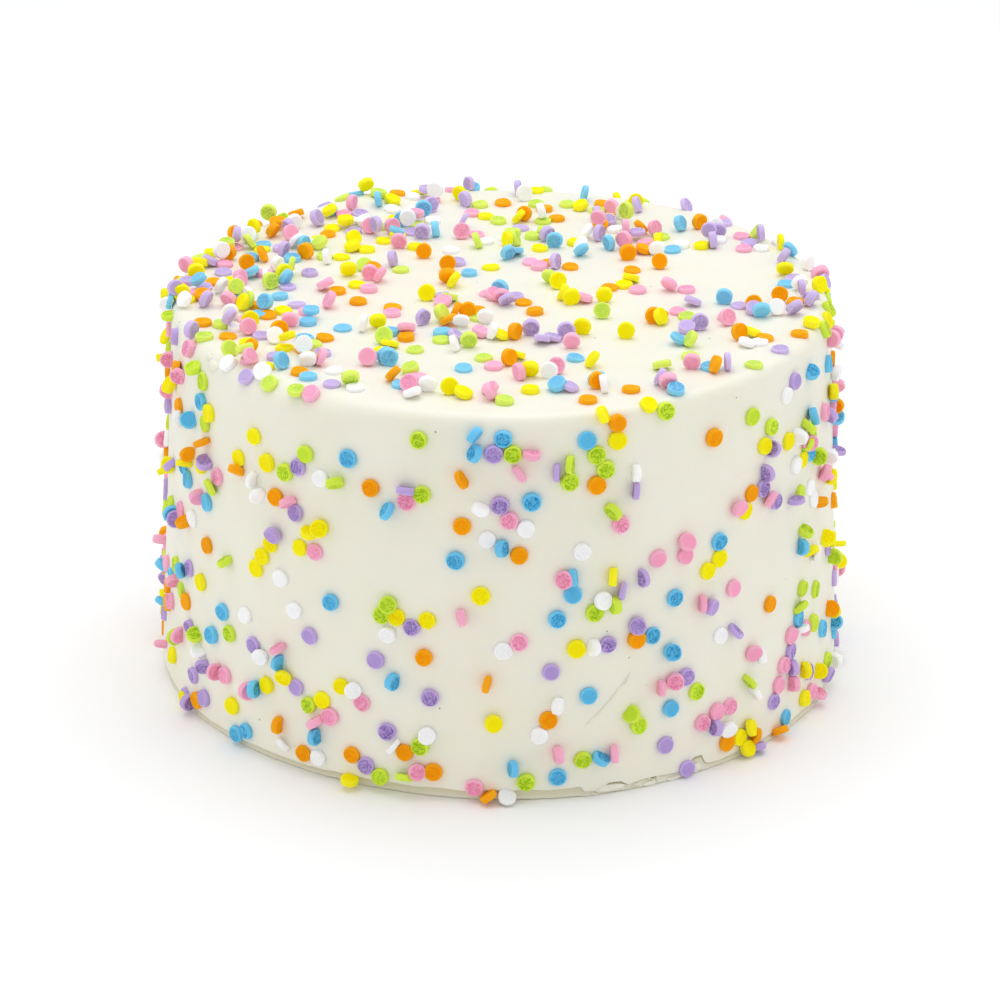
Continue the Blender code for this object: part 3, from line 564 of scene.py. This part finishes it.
# On the top a chain starts at x and y in mm, and twelve o'clock points away from the front.
TOP_CHAINS = (
    "-40 -64 pink/3 blue/2@2 blue/3@5", "-36 -53 yellow yellow^@1 green/3@11",
    "-38 -32 yellow/3 white/12@8", "-26 -52 green", "-29 -42 orange pink^@12 blue@9", "-24 -29 purple/2",
    "-34 -15 orange pink@6", "-32 -77 orange/1 blue@5 pink/3@5 white/3@3", "-27 -71 green^ pink@5",
    "-26 -90 white^", "-11 -67 blue", "-14 -51 white/12 green/3@2", "-5 -58 green",
    "-18 -38 blue green@6 purple^@3", "-46 5 yellow", "-49 14 yellow/3",
    "-12 -32 white/3 orange^@10 green/1@11 orange/12@2 orange/3@3", "-50 -81 purple green/3@3",
    "-18 -12 pink^ green^@1 purple@11 yellow/3@8", "-17 8 orange/3 yellow/1@5", "-17 20 orange/3",
    "-14 26 purple", "-10 16 blue", "-7 -19 orange green@6 white/3@5", "-42 1 pink",
    "-6 -39 pink^ white/12@4 yellow^@3 orange/1@3 purple/3@2", "-4 -3 pink pink^@5 pink/3@5 purple/2@5",
    "0 -4 blue/4 purple@4 orange@5", "-2 -65 pink orange/2@2 yellow^@1", "9 -72 yellow/3 pink/5@8",
    "-15 -87 yellow/3 yellow^@4", "-3 -86 pink^ pink/12@6 green@4", "-58 -60 blue green/3@6 white/3@6",
    "-54 -64 pink/12", "-60 -52 orange", "-54 -42 orange", "-49 -33 blue", "-45 -10 orange",
    "-54 -14 pink/12", "-52 -1 orange pink^@10", "-43 -84 white", "-50 -70 white", "-42 11 pink/3 pink/1@4",
    "-44 20 green^ orange^@4", "-35 24 purple/12 green@5", "-44 38 yellow yellow^@9", "-25 32 orange/3",
    "-28 41 yellow pink/3@9", "-26 51 purple/3 blue/12@2", "13 -45 purple^ purple^@2 purple/3@2 yellow/3@2",
    "22 -49 pink/3", "23 -58 blue", "28 -64 yellow/12", "9 -84 yellow", "17 -83 blue^ purple^@3",
    "17 -69 pink/3 white/3@7", "29 -77 blue^ orange/2@6 white/12@5", "26 -92 orange", "39 -41 yellow/3",
    "39 -84 orange", "16 7 green/4 yellow/3@5", "20 -8 yellow/12 yellow/3@5 pink^@2", "33 -10 yellow/3",
    "32 -24 green/3", "35 2 orange yellow@2 yellow^@1", "43 20 orange", "42 32 orange/3", "44 0 pink",
    "11 -20 orange", "48 -28 orange/3 orange^@1 yellow/1@6", "58 -36 purple^ purple/3@2",
    "56 -19 pink green@5", "61 -12 purple^", "55 -46 blue^ green/12@4", "58 -58 green",
    "58 -67 pink/3 blue@3", "49 -67 green^", "48 -79 purple/1 pink/3@5 blue^@5",
    "65 -70 orange/12 purple/12@2", "71 -24 pink pink/2@6", "74 -42 orange/2 yellow^@2 orange@4",
    "80 -16 orange/3 purple^@6 blue/3@5 white/3@2 purple/2@3", "71 -10 blue/3 purple@4",
    "76 -48 white^ white@2", "93 -38 orange", "86 -52 purple", "77 -65 green",
    "10 27 pink pink@5 orange@1 purple/1@5 orange@3", "11 53 green green^@2", "18 44 blue/3 yellow@8",
    "54 1 pink/4 pink@3", "52 23 orange/3", "92 16 yellow/3 purple@5 blue@7", "99 -4 purple",
    "5 35 blue^ blue/2@7", "-3 22 yellow",
)
# The chains above are all that lies on the front of the wall, between these azimuths, and on the middle
# and front of the top, between these values of x and in front of this y in mm. Loose ones fill the rest.
CHAINS_FROM, CHAINS_TO = -57, 58
CHAINS_LEFT, CHAINS_RIGHT, CHAINS_BACK = -56, 88, 38
LENGTH_SHARES = {1: 58, 2: 22, 3: 11, 4: 6, 5: 3}  # how many sprinkles a loose chain has
# Shares of flat, propped and standing ones, for the first of a loose chain and the next ones.
FIRST_POSES, NEXT_POSES = {"": 56, "^": 4, "/": 34}, {"": 56, "^": 12, "/": 34}
# Drifts where more of the loose sprinkles landed on the top: x, y and reach in mm, and their weight.
TOP_DRIFTS = (
    (-66, -62, 15, 2.9), (-76, -30, 17, 1.5), (-86, 0, 18, 1.1), (-78, 44, 20, 1.1), (-50, 78, 14, 1.2),
    (66, 52, 22, 1.3), (94, 15, 14, 1.5),
)
TOP_LEAST, TOP_MOST = 0.6, 3.0  # the weight between the drifts, and that from which no start is refused
# And on the wall, where the sides are thicker set than the back: azimuth and reach in degrees, weight.
WALL_DRIFTS = ((-76, 20, 0.5), (76, 20, 0.6))
WALL_MOST = 1.6  # the weight from which no start is refused

Sprinkle = namedtuple("Sprinkle", "colour centre turn radius thickness")


def top_point(x, y):
    """A point of the coat over x and y, on the top or the rounded rim."""
    azimuth = math.atan2(x, -y)
    rounding = rim_rounding(azimuth)
    over = math.hypot(x, y) - (CORNER_RADIUS - rounding)
    drop = rounding - math.sqrt(max(0.0, rounding**2 - over**2)) if over > 0 else 0.0
    return uneven(Vector((x, y, HEIGHT - drop)))


def frame_at(surface, first, second, nudge_first, nudge_second):
    """The point of a surface function, and its unit right, up and outward directions."""
    point = surface(first, second)
    right = (surface(first + nudge_first, second) - surface(first - nudge_first, second)).normalized()
    up = (surface(first, second + nudge_second) - surface(first, second - nudge_second)).normalized()
    return point, right, up, right.cross(up).normalized()


def wall_frame(azimuth, climb):
    """The wall's frame at an azimuth in radians and a distance up it."""
    return frame_at(wall_point, azimuth, climb, 0.004, 0.4 * MM)


def top_frame(x, y):
    """The top's frame over x and y."""
    return frame_at(top_point, x, y, 0.4 * MM, 0.4 * MM)


def clock(hour, right, up):
    """The direction that a clock hour points to, with twelve o'clock up."""
    angle = math.radians(30 * hour)
    return math.sin(angle) * right + math.cos(angle) * up


def seat(draw, colour, pose, spot, came_from):
    """One sprinkle on a spot of the surface, in the pose that its word gives."""
    point, right, up, out = spot
    radius = 0.5 * SPRINKLE_DIAMETER * draw.uniform(*RADIUS_SPREAD)
    thickness = SPRINKLE_THICKNESS * draw.uniform(*THICKNESS_SPREAD)
    aside = clock(draw.uniform(0, 12), right, up)
    if pose.isdigit():
        stroke = clock(int(pose) + draw.uniform(-0.35, 0.35), right, up)
        lean = math.radians(draw.uniform(*STANDING_LEANS))
        normal = math.cos(lean) * out.cross(stroke) + math.sin(lean) * out
        lift = radius * math.cos(lean) * draw.uniform(*(OUT_OF_TOP if out.z > UPWARD else OUT_OF_WALL))
    elif pose == "^":
        tilt = math.radians(draw.uniform(*PROPPED_LEANS))
        normal = math.cos(tilt) * out + math.sin(tilt) * (came_from or aside)
        lift = 0.5 * thickness + 0.6 * radius * math.sin(tilt)
    else:
        tilt = math.radians(draw.uniform(*FLAT_LEANS))
        normal = math.cos(tilt) * out + math.sin(tilt) * aside
        lift = thickness * draw.uniform(*OUT_WHEN_FLAT)
    spin = Matrix.Rotation(draw.uniform(0, math.tau), 3, "Z")
    normal.normalize()
    turn = normal.to_track_quat("Z", "Y").to_matrix() @ spin
    centre = point + lift * out
    half_height = radius * math.sqrt(1 - normal.z**2) + 0.5 * thickness * abs(normal.z)
    centre.z = max(centre.z, half_height + FLOOR_GAP)
    return Sprinkle(colour, centre, turn, radius, thickness)


def reach_of(pose, hour):
    """How much room a sprinkle takes from its middle to the neighbour that it touches at a clock hour."""
    if pose.isdigit():
        angle = math.radians(30 * (int(hour) - int(pose)))
        along, across = abs(math.cos(angle)), abs(math.sin(angle))
        return 0.5 * (SPRINKLE_DIAMETER * along + SPRINKLE_THICKNESS * across)
    return 0.5 * SPRINKLE_DIAMETER * (0.7 if pose == "^" else 1.0)


def read_word(word):
    """Colour, pose and clock hour of one word of a chain."""
    word, _, hour = word.partition("@")
    if word.endswith("^"):
        return word[:-1], "^", hour
    colour, _, stroke = word.partition("/")
    return colour, stroke, hour


def lay_chain(draw, frame_of, spacing, start, words):
    """Sprinkles of one chain. spacing turns a step to the right and up into steps of the two coordinates."""
    first, second = start
    laid = []
    last = None
    for word in words:
        colour, pose, hour = read_word(word)
        came_from = None
        if last is not None:
            step = reach_of(last, hour) + reach_of(pose, hour)
            angle = math.radians(30 * int(hour))
            first += step * math.sin(angle) / spacing(second)
            second += step * math.cos(angle)
            _, right, up, _ = frame_of(first, second)
            came_from = clock(int(hour), right, up)
        laid.append(seat(draw, colour, pose, frame_of(first, second), came_from))
        last = pose
    return laid


def wall_spacing(climb):
    """How far a radian reaches on the wall at a distance up it."""
    return BASE_RADIUS - WALL_TAPER * climb


def top_spacing(_):
    """On the top x and y are distances already."""
    return 1.0


def pick(draw, shares):
    """One of the keys, each as often as its share says."""
    return draw.choices(list(shares), list(shares.values()))[0]


def random_words(draw):
    """A chain of one to five sprinkles, as they tend to fall."""
    words = []
    for place in range(pick(draw, LENGTH_SHARES)):
        colour = pick(draw, COLOUR_SHARES)
        pose = pick(draw, NEXT_POSES if place else FIRST_POSES)
        if pose == "/":
            pose += str(draw.randint(1, 12))
        words.append(f"{colour}{pose}@{draw.randint(1, 12)}")
    return words


def wall_weight(azimuth):
    """How thickly the wall is strewn at an azimuth in radians."""
    return 1.0 + extra_at(azimuth, WALL_DRIFTS, unit=1.0)


def top_weight(x, y):
    """How thickly the top is strewn at x and y."""
    weight = TOP_LEAST
    for middle_x, middle_y, reach, more in TOP_DRIFTS:
        weight += more * nearness(x, y, middle_x, middle_y, reach)
    return weight


def half_width(sprinkle, direction):
    """From a sprinkle's middle to its skin in a direction."""
    tipped = min(1.0, abs(sprinkle.turn.col[2].dot(direction)))
    return sprinkle.radius * math.sqrt(1 - tipped**2) + 0.5 * sprinkle.thickness * tipped


def is_clear(sprinkle, others):
    """Whether a sprinkle has room beside every other."""
    for other in others:
        gap = other.centre - sprinkle.centre
        away = gap.length
        if away > 1.2 * SPRINKLE_DIAMETER:
            continue
        gap.normalize()
        if away < ROOM_SHARE * (half_width(sprinkle, gap) + half_width(other, gap)):
            return False
    return True


def find_room(sprinkle, others, pile_steps):
    """The sprinkle where it fell, or lying on the ones beneath it. None if it would run through one."""
    for step in range(pile_steps + 1):
        raised = sprinkle._replace(centre=sprinkle.centre + Vector((0, 0, step * PILE_STEP)))
        if is_clear(raised, others):
            return raised
    return None


def fill(draw, laid, wanted, pick_start, frame_of, spacing, limit, pile_steps):
    """Adds random chains until the wanted number lie there."""
    while len(laid) < wanted:
        start = pick_start(draw)
        fallen = []
        for sprinkle in lay_chain(draw, frame_of, spacing, start, random_words(draw)):
            room = find_room(sprinkle, laid + fallen[:-1], pile_steps)
            if room and limit(room.centre):
                fallen.append(room)
            elif not fallen:
                break
        laid += fallen


def pick_wall(draw):
    """A place on the wall where a loose chain starts."""
    while True:
        azimuth = draw.uniform(-math.pi, math.pi)
        charted = CHAINS_FROM < math.degrees(azimuth) < CHAINS_TO
        if not charted and draw.uniform(0, WALL_MOST) < wall_weight(azimuth):
            return azimuth, draw.uniform(3 * MM, HEIGHT)


def pick_top(draw):
    """A place on the top where a loose chain starts."""
    while True:
        radius = (CORNER_RADIUS - 2 * MM) * math.sqrt(draw.random())
        azimuth = draw.uniform(-math.pi, math.pi)
        x, y = radius * math.sin(azimuth), -radius * math.cos(azimuth)
        charted = CHAINS_LEFT * MM < x < CHAINS_RIGHT * MM and y < CHAINS_BACK * MM
        if not charted and draw.uniform(0, TOP_MOST) < top_weight(x, y):
            return x, y


def is_on_wall(centre):
    return centre.z < HEIGHT + PAST_RIM


def is_on_top(centre):
    return centre.xy.length < CORNER_RADIUS + PAST_RIM


def scatter():
    """Every sprinkle of the cake, always the same ones."""
    draw = random.Random(SEED)
    wall = []
    for chain in WALL_CHAINS:
        degrees, height, *words = chain.split()
        start = (math.radians(float(degrees)), float(height) * MM)
        wall += lay_chain(draw, wall_frame, wall_spacing, start, words)
    top = []
    for chain in TOP_CHAINS:
        x, y, *words = chain.split()
        top += lay_chain(draw, top_frame, top_spacing, (float(x) * MM, float(y) * MM), words)
    fill(draw, wall, WALL_SPRINKLES, pick_wall, wall_frame, wall_spacing, is_on_wall, pile_steps=0)
    fill(draw, top, TOP_SPRINKLES, pick_top, top_frame, top_spacing, is_on_top, pile_steps=4)
    return wall + top


# How each one is punched, and what is changed about the ones above before they are made.
SPRINKLE_SIDES = 16
RIM_SHARE = 0.12  # of the radius, by which the faces are narrower than the bulging side
SIDE_SPREAD = 1.15  # by how much more than even the rings of the bulging side are drawn apart
WOBBLE, WOBBLE_SIZE = 0.45 * MM, 3.5 * MM
FACE_EDGE, FACE_FULL = 0.86, 0.77  # shares of the radius between which the pits set in
PIT_SPACING = 1.15 * MM
GROOVE_FLOOR, GROOVE_EDGE = 0.02, 0.065  # how far from a winding line its groove starts to rise and ends
PIT_DEPTH = 0.2 * MM
WALL_PITS = (0.15, 0.6, 0.9, 1.0)  # how strongly a face is pitted
TOP_PITS = (0.1, 0.3, 0.5, 0.7)  # fainter, as light from above fills the pits
STANDING = 0.6  # of its radius, the least half height of one that stands
SUNK = 0.3 * MM  # how deep the ones that stand on the top dip into it
CEILING = 133.2 * MM  # the highest that one is raised
LEVEL = 0.97  # the least upward part of the outward direction where the top counts as level
# Azimuths and heights of a nearly empty patch of wall right of the front, and the thickest that is left out.
SPARSE = (57, 75, 104 * MM, 124 * MM)
SPARSE_THICKNESS = 2.17 * MM
BESIDE = 11 * MM  # within which others count as neighbours
CHARTED_WALL = (-63, 65.5)  # azimuths that the written chains reach
CHARTED_TOP = (-60 * MM, 100 * MM, 55 * MM)  # their left, right and back ends on the top
# How far and how strongly the sprinkles' bounce light is painted on the coat, in their colours.
BOUNCE_REACH = 0.8 * MM
BOUNCE_STRENGTH = 0.22

# For each colour: the smooth rim, the face, the bottom of its pits, and the share of their full depth.
SUGARS = {
    "pink": ("#FFB4CE", "#FFA9C7", "#EE86AC", 0.7),
    "yellow": ("#FFF128", "#FFED08", "#F8DE00", 0.2),
    "purple": ("#C6AEE4", "#B9A0DA", "#8A6CBA", 1.0),
    "green": ("#D6EE50", "#CBE93E", "#9ECC0C", 1.0),
    "blue": ("#76CBF3", "#64C0EA", "#3098D2", 1.0),
    "white": ("#FFFFFF", "#FEFFFF", "#F6F7F7", 0.2),
    "orange": ("#FFAA1C", "#FFA406", "#F99200", 0.25),
}
# The sprinkles on the top are painted paler with white, for the sheen that light gives them there. It pales
# the cool colours most.
PAINTED_SHEENS = {"pink": 0.02, "purple": 0.13, "green": 0.07, "blue": 0.08}
# The ones on the top are painted lighter as well, for the light from above; otherwise the tone differs at
# random.
WALL_TONES, LIT_TOP_TONES = (0.95, 1.04), (1.03, 1.13)  # how light one is against its colour above


def make_confetti_tree():
    """Geometry nodes that strew punched discs: flat faces, and a bulging side that is cut in next to them."""
    tree, given = new_tree("confetti", {"Sides": "Int", "Rim share": "Float", **STREWN})
    disc = add(
        tree, "GeometryNodeMeshCylinder",
        {"Vertices": given["Sides"], "Side Segments": 3, "Radius": 1.0, "Depth": 1.0}, fill_type="NGON",
    )
    place = add(tree, "GeometryNodeInputPosition")
    parts = add(tree, "ShaderNodeSeparateXYZ", {0: place})
    height = add(tree, "ShaderNodeMath", {0: parts.outputs["Z"]}, operation="ABSOLUTE")
    at_face = add(tree, "ShaderNodeMath", {0: height, 1: 0.4}, operation="GREATER_THAN")
    pull_in = add(tree, "ShaderNodeMath", {0: at_face, 1: given["Rim share"]}, operation="MULTIPLY")
    width = add(tree, "ShaderNodeMath", {0: 1.0, 1: pull_in}, operation="SUBTRACT")
    side = add(tree, "ShaderNodeMath", {0: 1.0, 1: at_face}, operation="SUBTRACT")
    stretch = add(tree, "ShaderNodeMath", {0: side, 1: SIDE_SPREAD, 2: 1.0}, operation="MULTIPLY_ADD")
    scale = add(tree, "ShaderNodeCombineXYZ", {"X": width, "Y": width, "Z": stretch})
    shaped = add(tree, "ShaderNodeVectorMath", {0: place, 1: scale}, operation="MULTIPLY")
    punched = add(tree, "GeometryNodeSetPosition", {"Geometry": disc, "Position": shaped})
    marked = add(
        tree, "GeometryNodeStoreNamedAttribute",
        {"Geometry": punched, "Name": "on_disc", "Value": place}, data_type="FLOAT_VECTOR",
    )
    normal = add(tree, "ShaderNodeSeparateXYZ", {0: add(tree, "GeometryNodeInputNormal")})
    steep = add(tree, "ShaderNodeMath", {0: normal.outputs["Z"]}, operation="ABSOLUTE")
    is_side = add(tree, "FunctionNodeCompare", {0: steep, 1: 0.99}, operation="LESS_THAN")
    smooth = add(tree, "GeometryNodeSetShadeSmooth", {"Geometry": marked, "Shade Smooth": is_side})
    strew(tree, given, smooth)
    return tree


def make_sugar(colour, rim_hex, face_hex, pit_hex, pit_depth):
    """Pressed sugar: icing sugar bound with starch and food dye, dried hard and matt. Where the punch cut,
    it has a smooth pale rim, and the face inside is pitted with fine winding grooves, darker and richer.
    """
    material, tree = new_material(f"pressed_sugar_{colour}")
    place = add(tree, "ShaderNodeTexCoord").outputs["Object"]
    on_disc = add(tree, "ShaderNodeAttribute", attribute_name="on_disc")
    flat = add(
        tree, "ShaderNodeVectorMath", {0: on_disc.outputs["Vector"], 1: (1, 1, 0)}, operation="MULTIPLY",
    )
    out = add(tree, "ShaderNodeVectorMath", {0: flat}, operation="LENGTH").outputs["Value"]
    inside = add(tree, "ShaderNodeMapRange", {"Value": out, 1: FACE_EDGE, 2: FACE_FULL, 3: 0.0, 4: 1.0})
    winding = add(
        tree, "ShaderNodeTexNoise",
        {"Vector": place, "Scale": 1 / PIT_SPACING, "Detail": 1.0, "Distortion": 0.6},
    )
    from_middle = add(tree, "ShaderNodeMath", {0: winding, 1: 0.5}, operation="SUBTRACT")
    off_line = add(tree, "ShaderNodeMath", {0: from_middle}, operation="ABSOLUTE")
    groove = add(
        tree, "ShaderNodeMapRange", {"Value": off_line, 1: GROOVE_FLOOR, 2: GROOVE_EDGE, 3: 1.0, 4: 0.0},
    )
    pitting, painted_sheen, tone_and_painted_light = (
        add(tree, "ShaderNodeAttribute", attribute_name=name).outputs["Fac"]
        for name in ("pitting", "painted_sheen", "tone_and_painted_light")
    )
    depth = add(tree, "ShaderNodeMath", {0: groove, 1: inside}, operation="MULTIPLY")
    pit = add(tree, "ShaderNodeMath", {0: depth, 1: pitting}, operation="MULTIPLY")
    shade = linear(rim_hex)
    for share, over in ((inside, face_hex), (pit, pit_hex), (painted_sheen, "#FFFFFF")):
        mix = add(tree, "ShaderNodeMix", {"Factor": share, "A": shade, "B": linear(over)}, data_type="RGBA")
        shade = mix.outputs["Result"]
    toned_and_lit = add(tree, "ShaderNodeHueSaturation", {"Color": shade, "Value": tone_and_painted_light})
    bump = add(tree, "ShaderNodeBump", {"Height": pit, "Distance": -PIT_DEPTH * pit_depth})
    finish = {
        "Base Color": toned_and_lit, "Normal": bump, "Roughness": 0.6, "IOR": 1.5, "Specular IOR Level": 0.06,
        "Subsurface Weight": 0.5, "Subsurface Radius": (1.0, 1.0, 1.0), "Subsurface Scale": 1.0 * MM,
    }
    end_material(tree, finish)
    return material


def lies_high(sprinkle):
    """Whether a sprinkle lies on the top or the upper rim."""
    return sprinkle.centre.z > HEIGHT - 2 * MM


def perch(sprinkle):
    """A sprinkle that stands on the level top is raised until it just dips into it. Others stay."""
    half = half_width(sprinkle, Vector((0, 0, 1)))
    if not lies_high(sprinkle) or half < STANDING * sprinkle.radius:
        return sprinkle
    x, y, z = sprinkle.centre
    surface, _, _, out = top_frame(x, y)
    if out.z < LEVEL:
        return sprinkle
    return sprinkle._replace(centre=Vector((x, y, max(z, min(surface.z + half - SUNK, CEILING - half)))))


def is_charted(sprinkle):
    """Whether a sprinkle lies among the written chains."""
    x, y, _ = sprinkle.centre
    left, right, back = CHARTED_TOP
    if lies_high(sprinkle):
        return left < x < right and y < back
    return CHARTED_WALL[0] < math.degrees(math.atan2(x, -y)) < CHARTED_WALL[1]


def is_left_out(sprinkle):
    """Whether a sprinkle is one of the thinner ones in the sparse patch. The solid has only thick ones."""
    x, y, z = sprinkle.centre
    left, right, low, high = SPARSE
    inside = left < math.degrees(math.atan2(x, -y)) < right and low < z < high
    return inside and sprinkle.thickness < SPARSE_THICKNESS


def mix_colours(sprinkles, draw):
    """Gives an uncharted sprinkle a rarer colour if two of its own colour lie beside it."""
    mixed = list(sprinkles)
    for place, sprinkle in enumerate(mixed):
        near = [other.colour for other in mixed if 0 < (other.centre - sprinkle.centre).length < BESIDE]
        if near.count(sprinkle.colour) > 1 and not is_charted(sprinkle):
            fewest = min(near.count(colour) for colour in COLOUR_SHARES)
            rare = [colour for colour in COLOUR_SHARES if near.count(colour) == fewest]
            mixed[place] = sprinkle._replace(colour=draw.choice(rare))
    return mixed


def make_confetti(colour, sprinkles, confetti_tree, draw):
    """All the sprinkles of one colour, each with its own tone, painted sheen and depth of pits, the ones on
    top painted lighter.
    """
    sizes = [(sprinkle.radius, sprinkle.radius, sprinkle.thickness) for sprinkle in sprinkles]
    turns = [sprinkle.turn.to_euler() for sprinkle in sprinkles]
    mesh = make_points(f"sprinkles_{colour}", [sprinkle.centre for sprinkle in sprinkles], turns, sizes)
    highs = [lies_high(sprinkle) for sprinkle in sprinkles]
    looks = {
        "tone_and_painted_light": [draw.uniform(*(LIT_TOP_TONES if high else WALL_TONES)) for high in highs],
        "painted_sheen": [PAINTED_SHEENS.get(colour, 0.0) if high else 0.0 for high in highs],
        "pitting": [draw.choice(TOP_PITS if high else WALL_PITS) for high in highs],
    }
    for attribute, values in looks.items():
        write_on(mesh, attribute, "FLOAT", values)
    piece = new_object(mesh.name, mesh)
    given = {
        "Sides": SPRINKLE_SIDES, "Rim share": RIM_SHARE, "Wobble": WOBBLE, "Wobble size": WOBBLE_SIZE,
        "Stuff": make_sugar(colour, *SUGARS[colour]),
    }
    run_tree(piece, confetti_tree, given)
    return piece


def dye_the_coat(coat, pieces):
    """Paints on the coat the light bounced from the sprinkle nearest each point: how much, and its colour."""
    points, faces, bounce_colours = [], [], []
    for colour, piece in pieces.items():
        start = len(points)
        points += [vertex.co for vertex in piece.data.vertices]
        faces += [[start + index for index in polygon.vertices] for polygon in piece.data.polygons]
        bounce_colours += [linear(SUGARS[colour][1])[:3]] * len(piece.data.polygons)
    sugar = BVHTree.FromPolygons(points, faces)
    colours = []
    for vertex in coat.data.vertices:
        _, _, nearest, away = sugar.find_nearest(vertex.co, 5 * BOUNCE_REACH)
        if nearest is None:
            colours += (1, 1, 1, 0)
        else:
            colours += (*bounce_colours[nearest], BOUNCE_STRENGTH * math.exp(-away / BOUNCE_REACH))
    write_on(coat.data, "dye", "FLOAT_COLOR", colours)


confetti_tree = make_confetti_tree()
draw_looks = random.Random(3)
everything = [perch(sprinkle) for sprinkle in scatter() if not is_left_out(sprinkle)]
everything = mix_colours(everything, draw_looks)
confetti = {}
for colour in SUGARS:
    of_colour = [sprinkle for sprinkle in everything if sprinkle.colour == colour]
    confetti[colour] = make_confetti(colour, of_colour, confetti_tree, draw_looks)
dye_the_coat(coat, confetti)

hand_over(coat)
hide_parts("cake")
for colour, piece in confetti.items():
    hand_over(piece)

# The stage: a pale matt floor under a white studio tent, a large soft light overhead, weak ones in front
# and at both sides, and a long lens that looks down on the cake from the front.
EDGE = 6.0  # from the middle of the floor to its edges
STIPPLE_SIZE, STIPPLE_DEPTH = 2 * MM, 0.02 * MM
CAMERA_PLACE = (0, -1.0441, 0.5102)
CAMERA_DOWN = math.radians(23.72)
CAMERA_LENS = 125.06

# Matt paint put on with a roller: its fine stipple spreads the light, so shadows are soft and nothing shines.
paint, tree = new_material("matt_paint_floor")
place = add(tree, "ShaderNodeTexCoord").outputs["Object"]
stipple = add(tree, "ShaderNodeTexNoise", {"Vector": place, "Scale": 1 / STIPPLE_SIZE, "Detail": 2.0})
bump = add(tree, "ShaderNodeBump", {"Height": stipple, "Distance": STIPPLE_DEPTH})
end_material(tree, {"Base Color": linear("#FEFEFE"), "Normal": bump, "Roughness": 0.7})

corners = [(x, y, 0) for x, y in ((-EDGE, -EDGE), (EDGE, -EDGE), (EDGE, EDGE), (-EDGE, EDGE))]
floor = new_object("floor", new_mesh("floor", corners, [(0, 1, 2, 3)]))
floor.data.materials.append(paint)

# Square soft lights that face the middle of the cake: place and size in metres, watts and colour.
for name, place, size, watts, hex_colour in (
    ("overhead", (0, 0.3, 1.6), 1.6, 14.5, "#F5F8FF"), ("front", (0, -2.0, 1.3), 1.4, 3, "#FFFBF2"),
    ("left", (-1.6, -0.2, 0.7), 1.2, 3, "#FFFFFF"), ("right", (1.6, -0.2, 0.7), 1.2, 3, "#FFFFFF"),
):
    light = bpy.data.lights.new(name, "AREA")
    light.shape = "SQUARE"
    light.size = size
    light.energy = watts
    light.color = linear(hex_colour)[:3]
    lamp = new_object(name, light)
    lamp.location = place
    ahead = Vector((0, 0, HEIGHT / 2)) - Vector(place)
    lamp.rotation_euler = ahead.to_track_quat("-Z", "Y").to_euler()

tent = bpy.data.worlds.new("studio_tent")
tent.use_nodes = True
glow = tent.node_tree.nodes["Background"].inputs
glow["Color"].default_value = (1, 1, 1, 1)
glow["Strength"].default_value = 0.63
bpy.context.scene.world = tent
bpy.context.scene.view_settings.view_transform = "Standard"

camera = new_object("camera", bpy.data.cameras.new("camera"))
camera.location = CAMERA_PLACE
camera.rotation_euler = (math.pi / 2 - CAMERA_DOWN, 0, 0)
camera.data.lens = CAMERA_LENS
camera.data.sensor_width = 36
bpy.context.scene.camera = camera
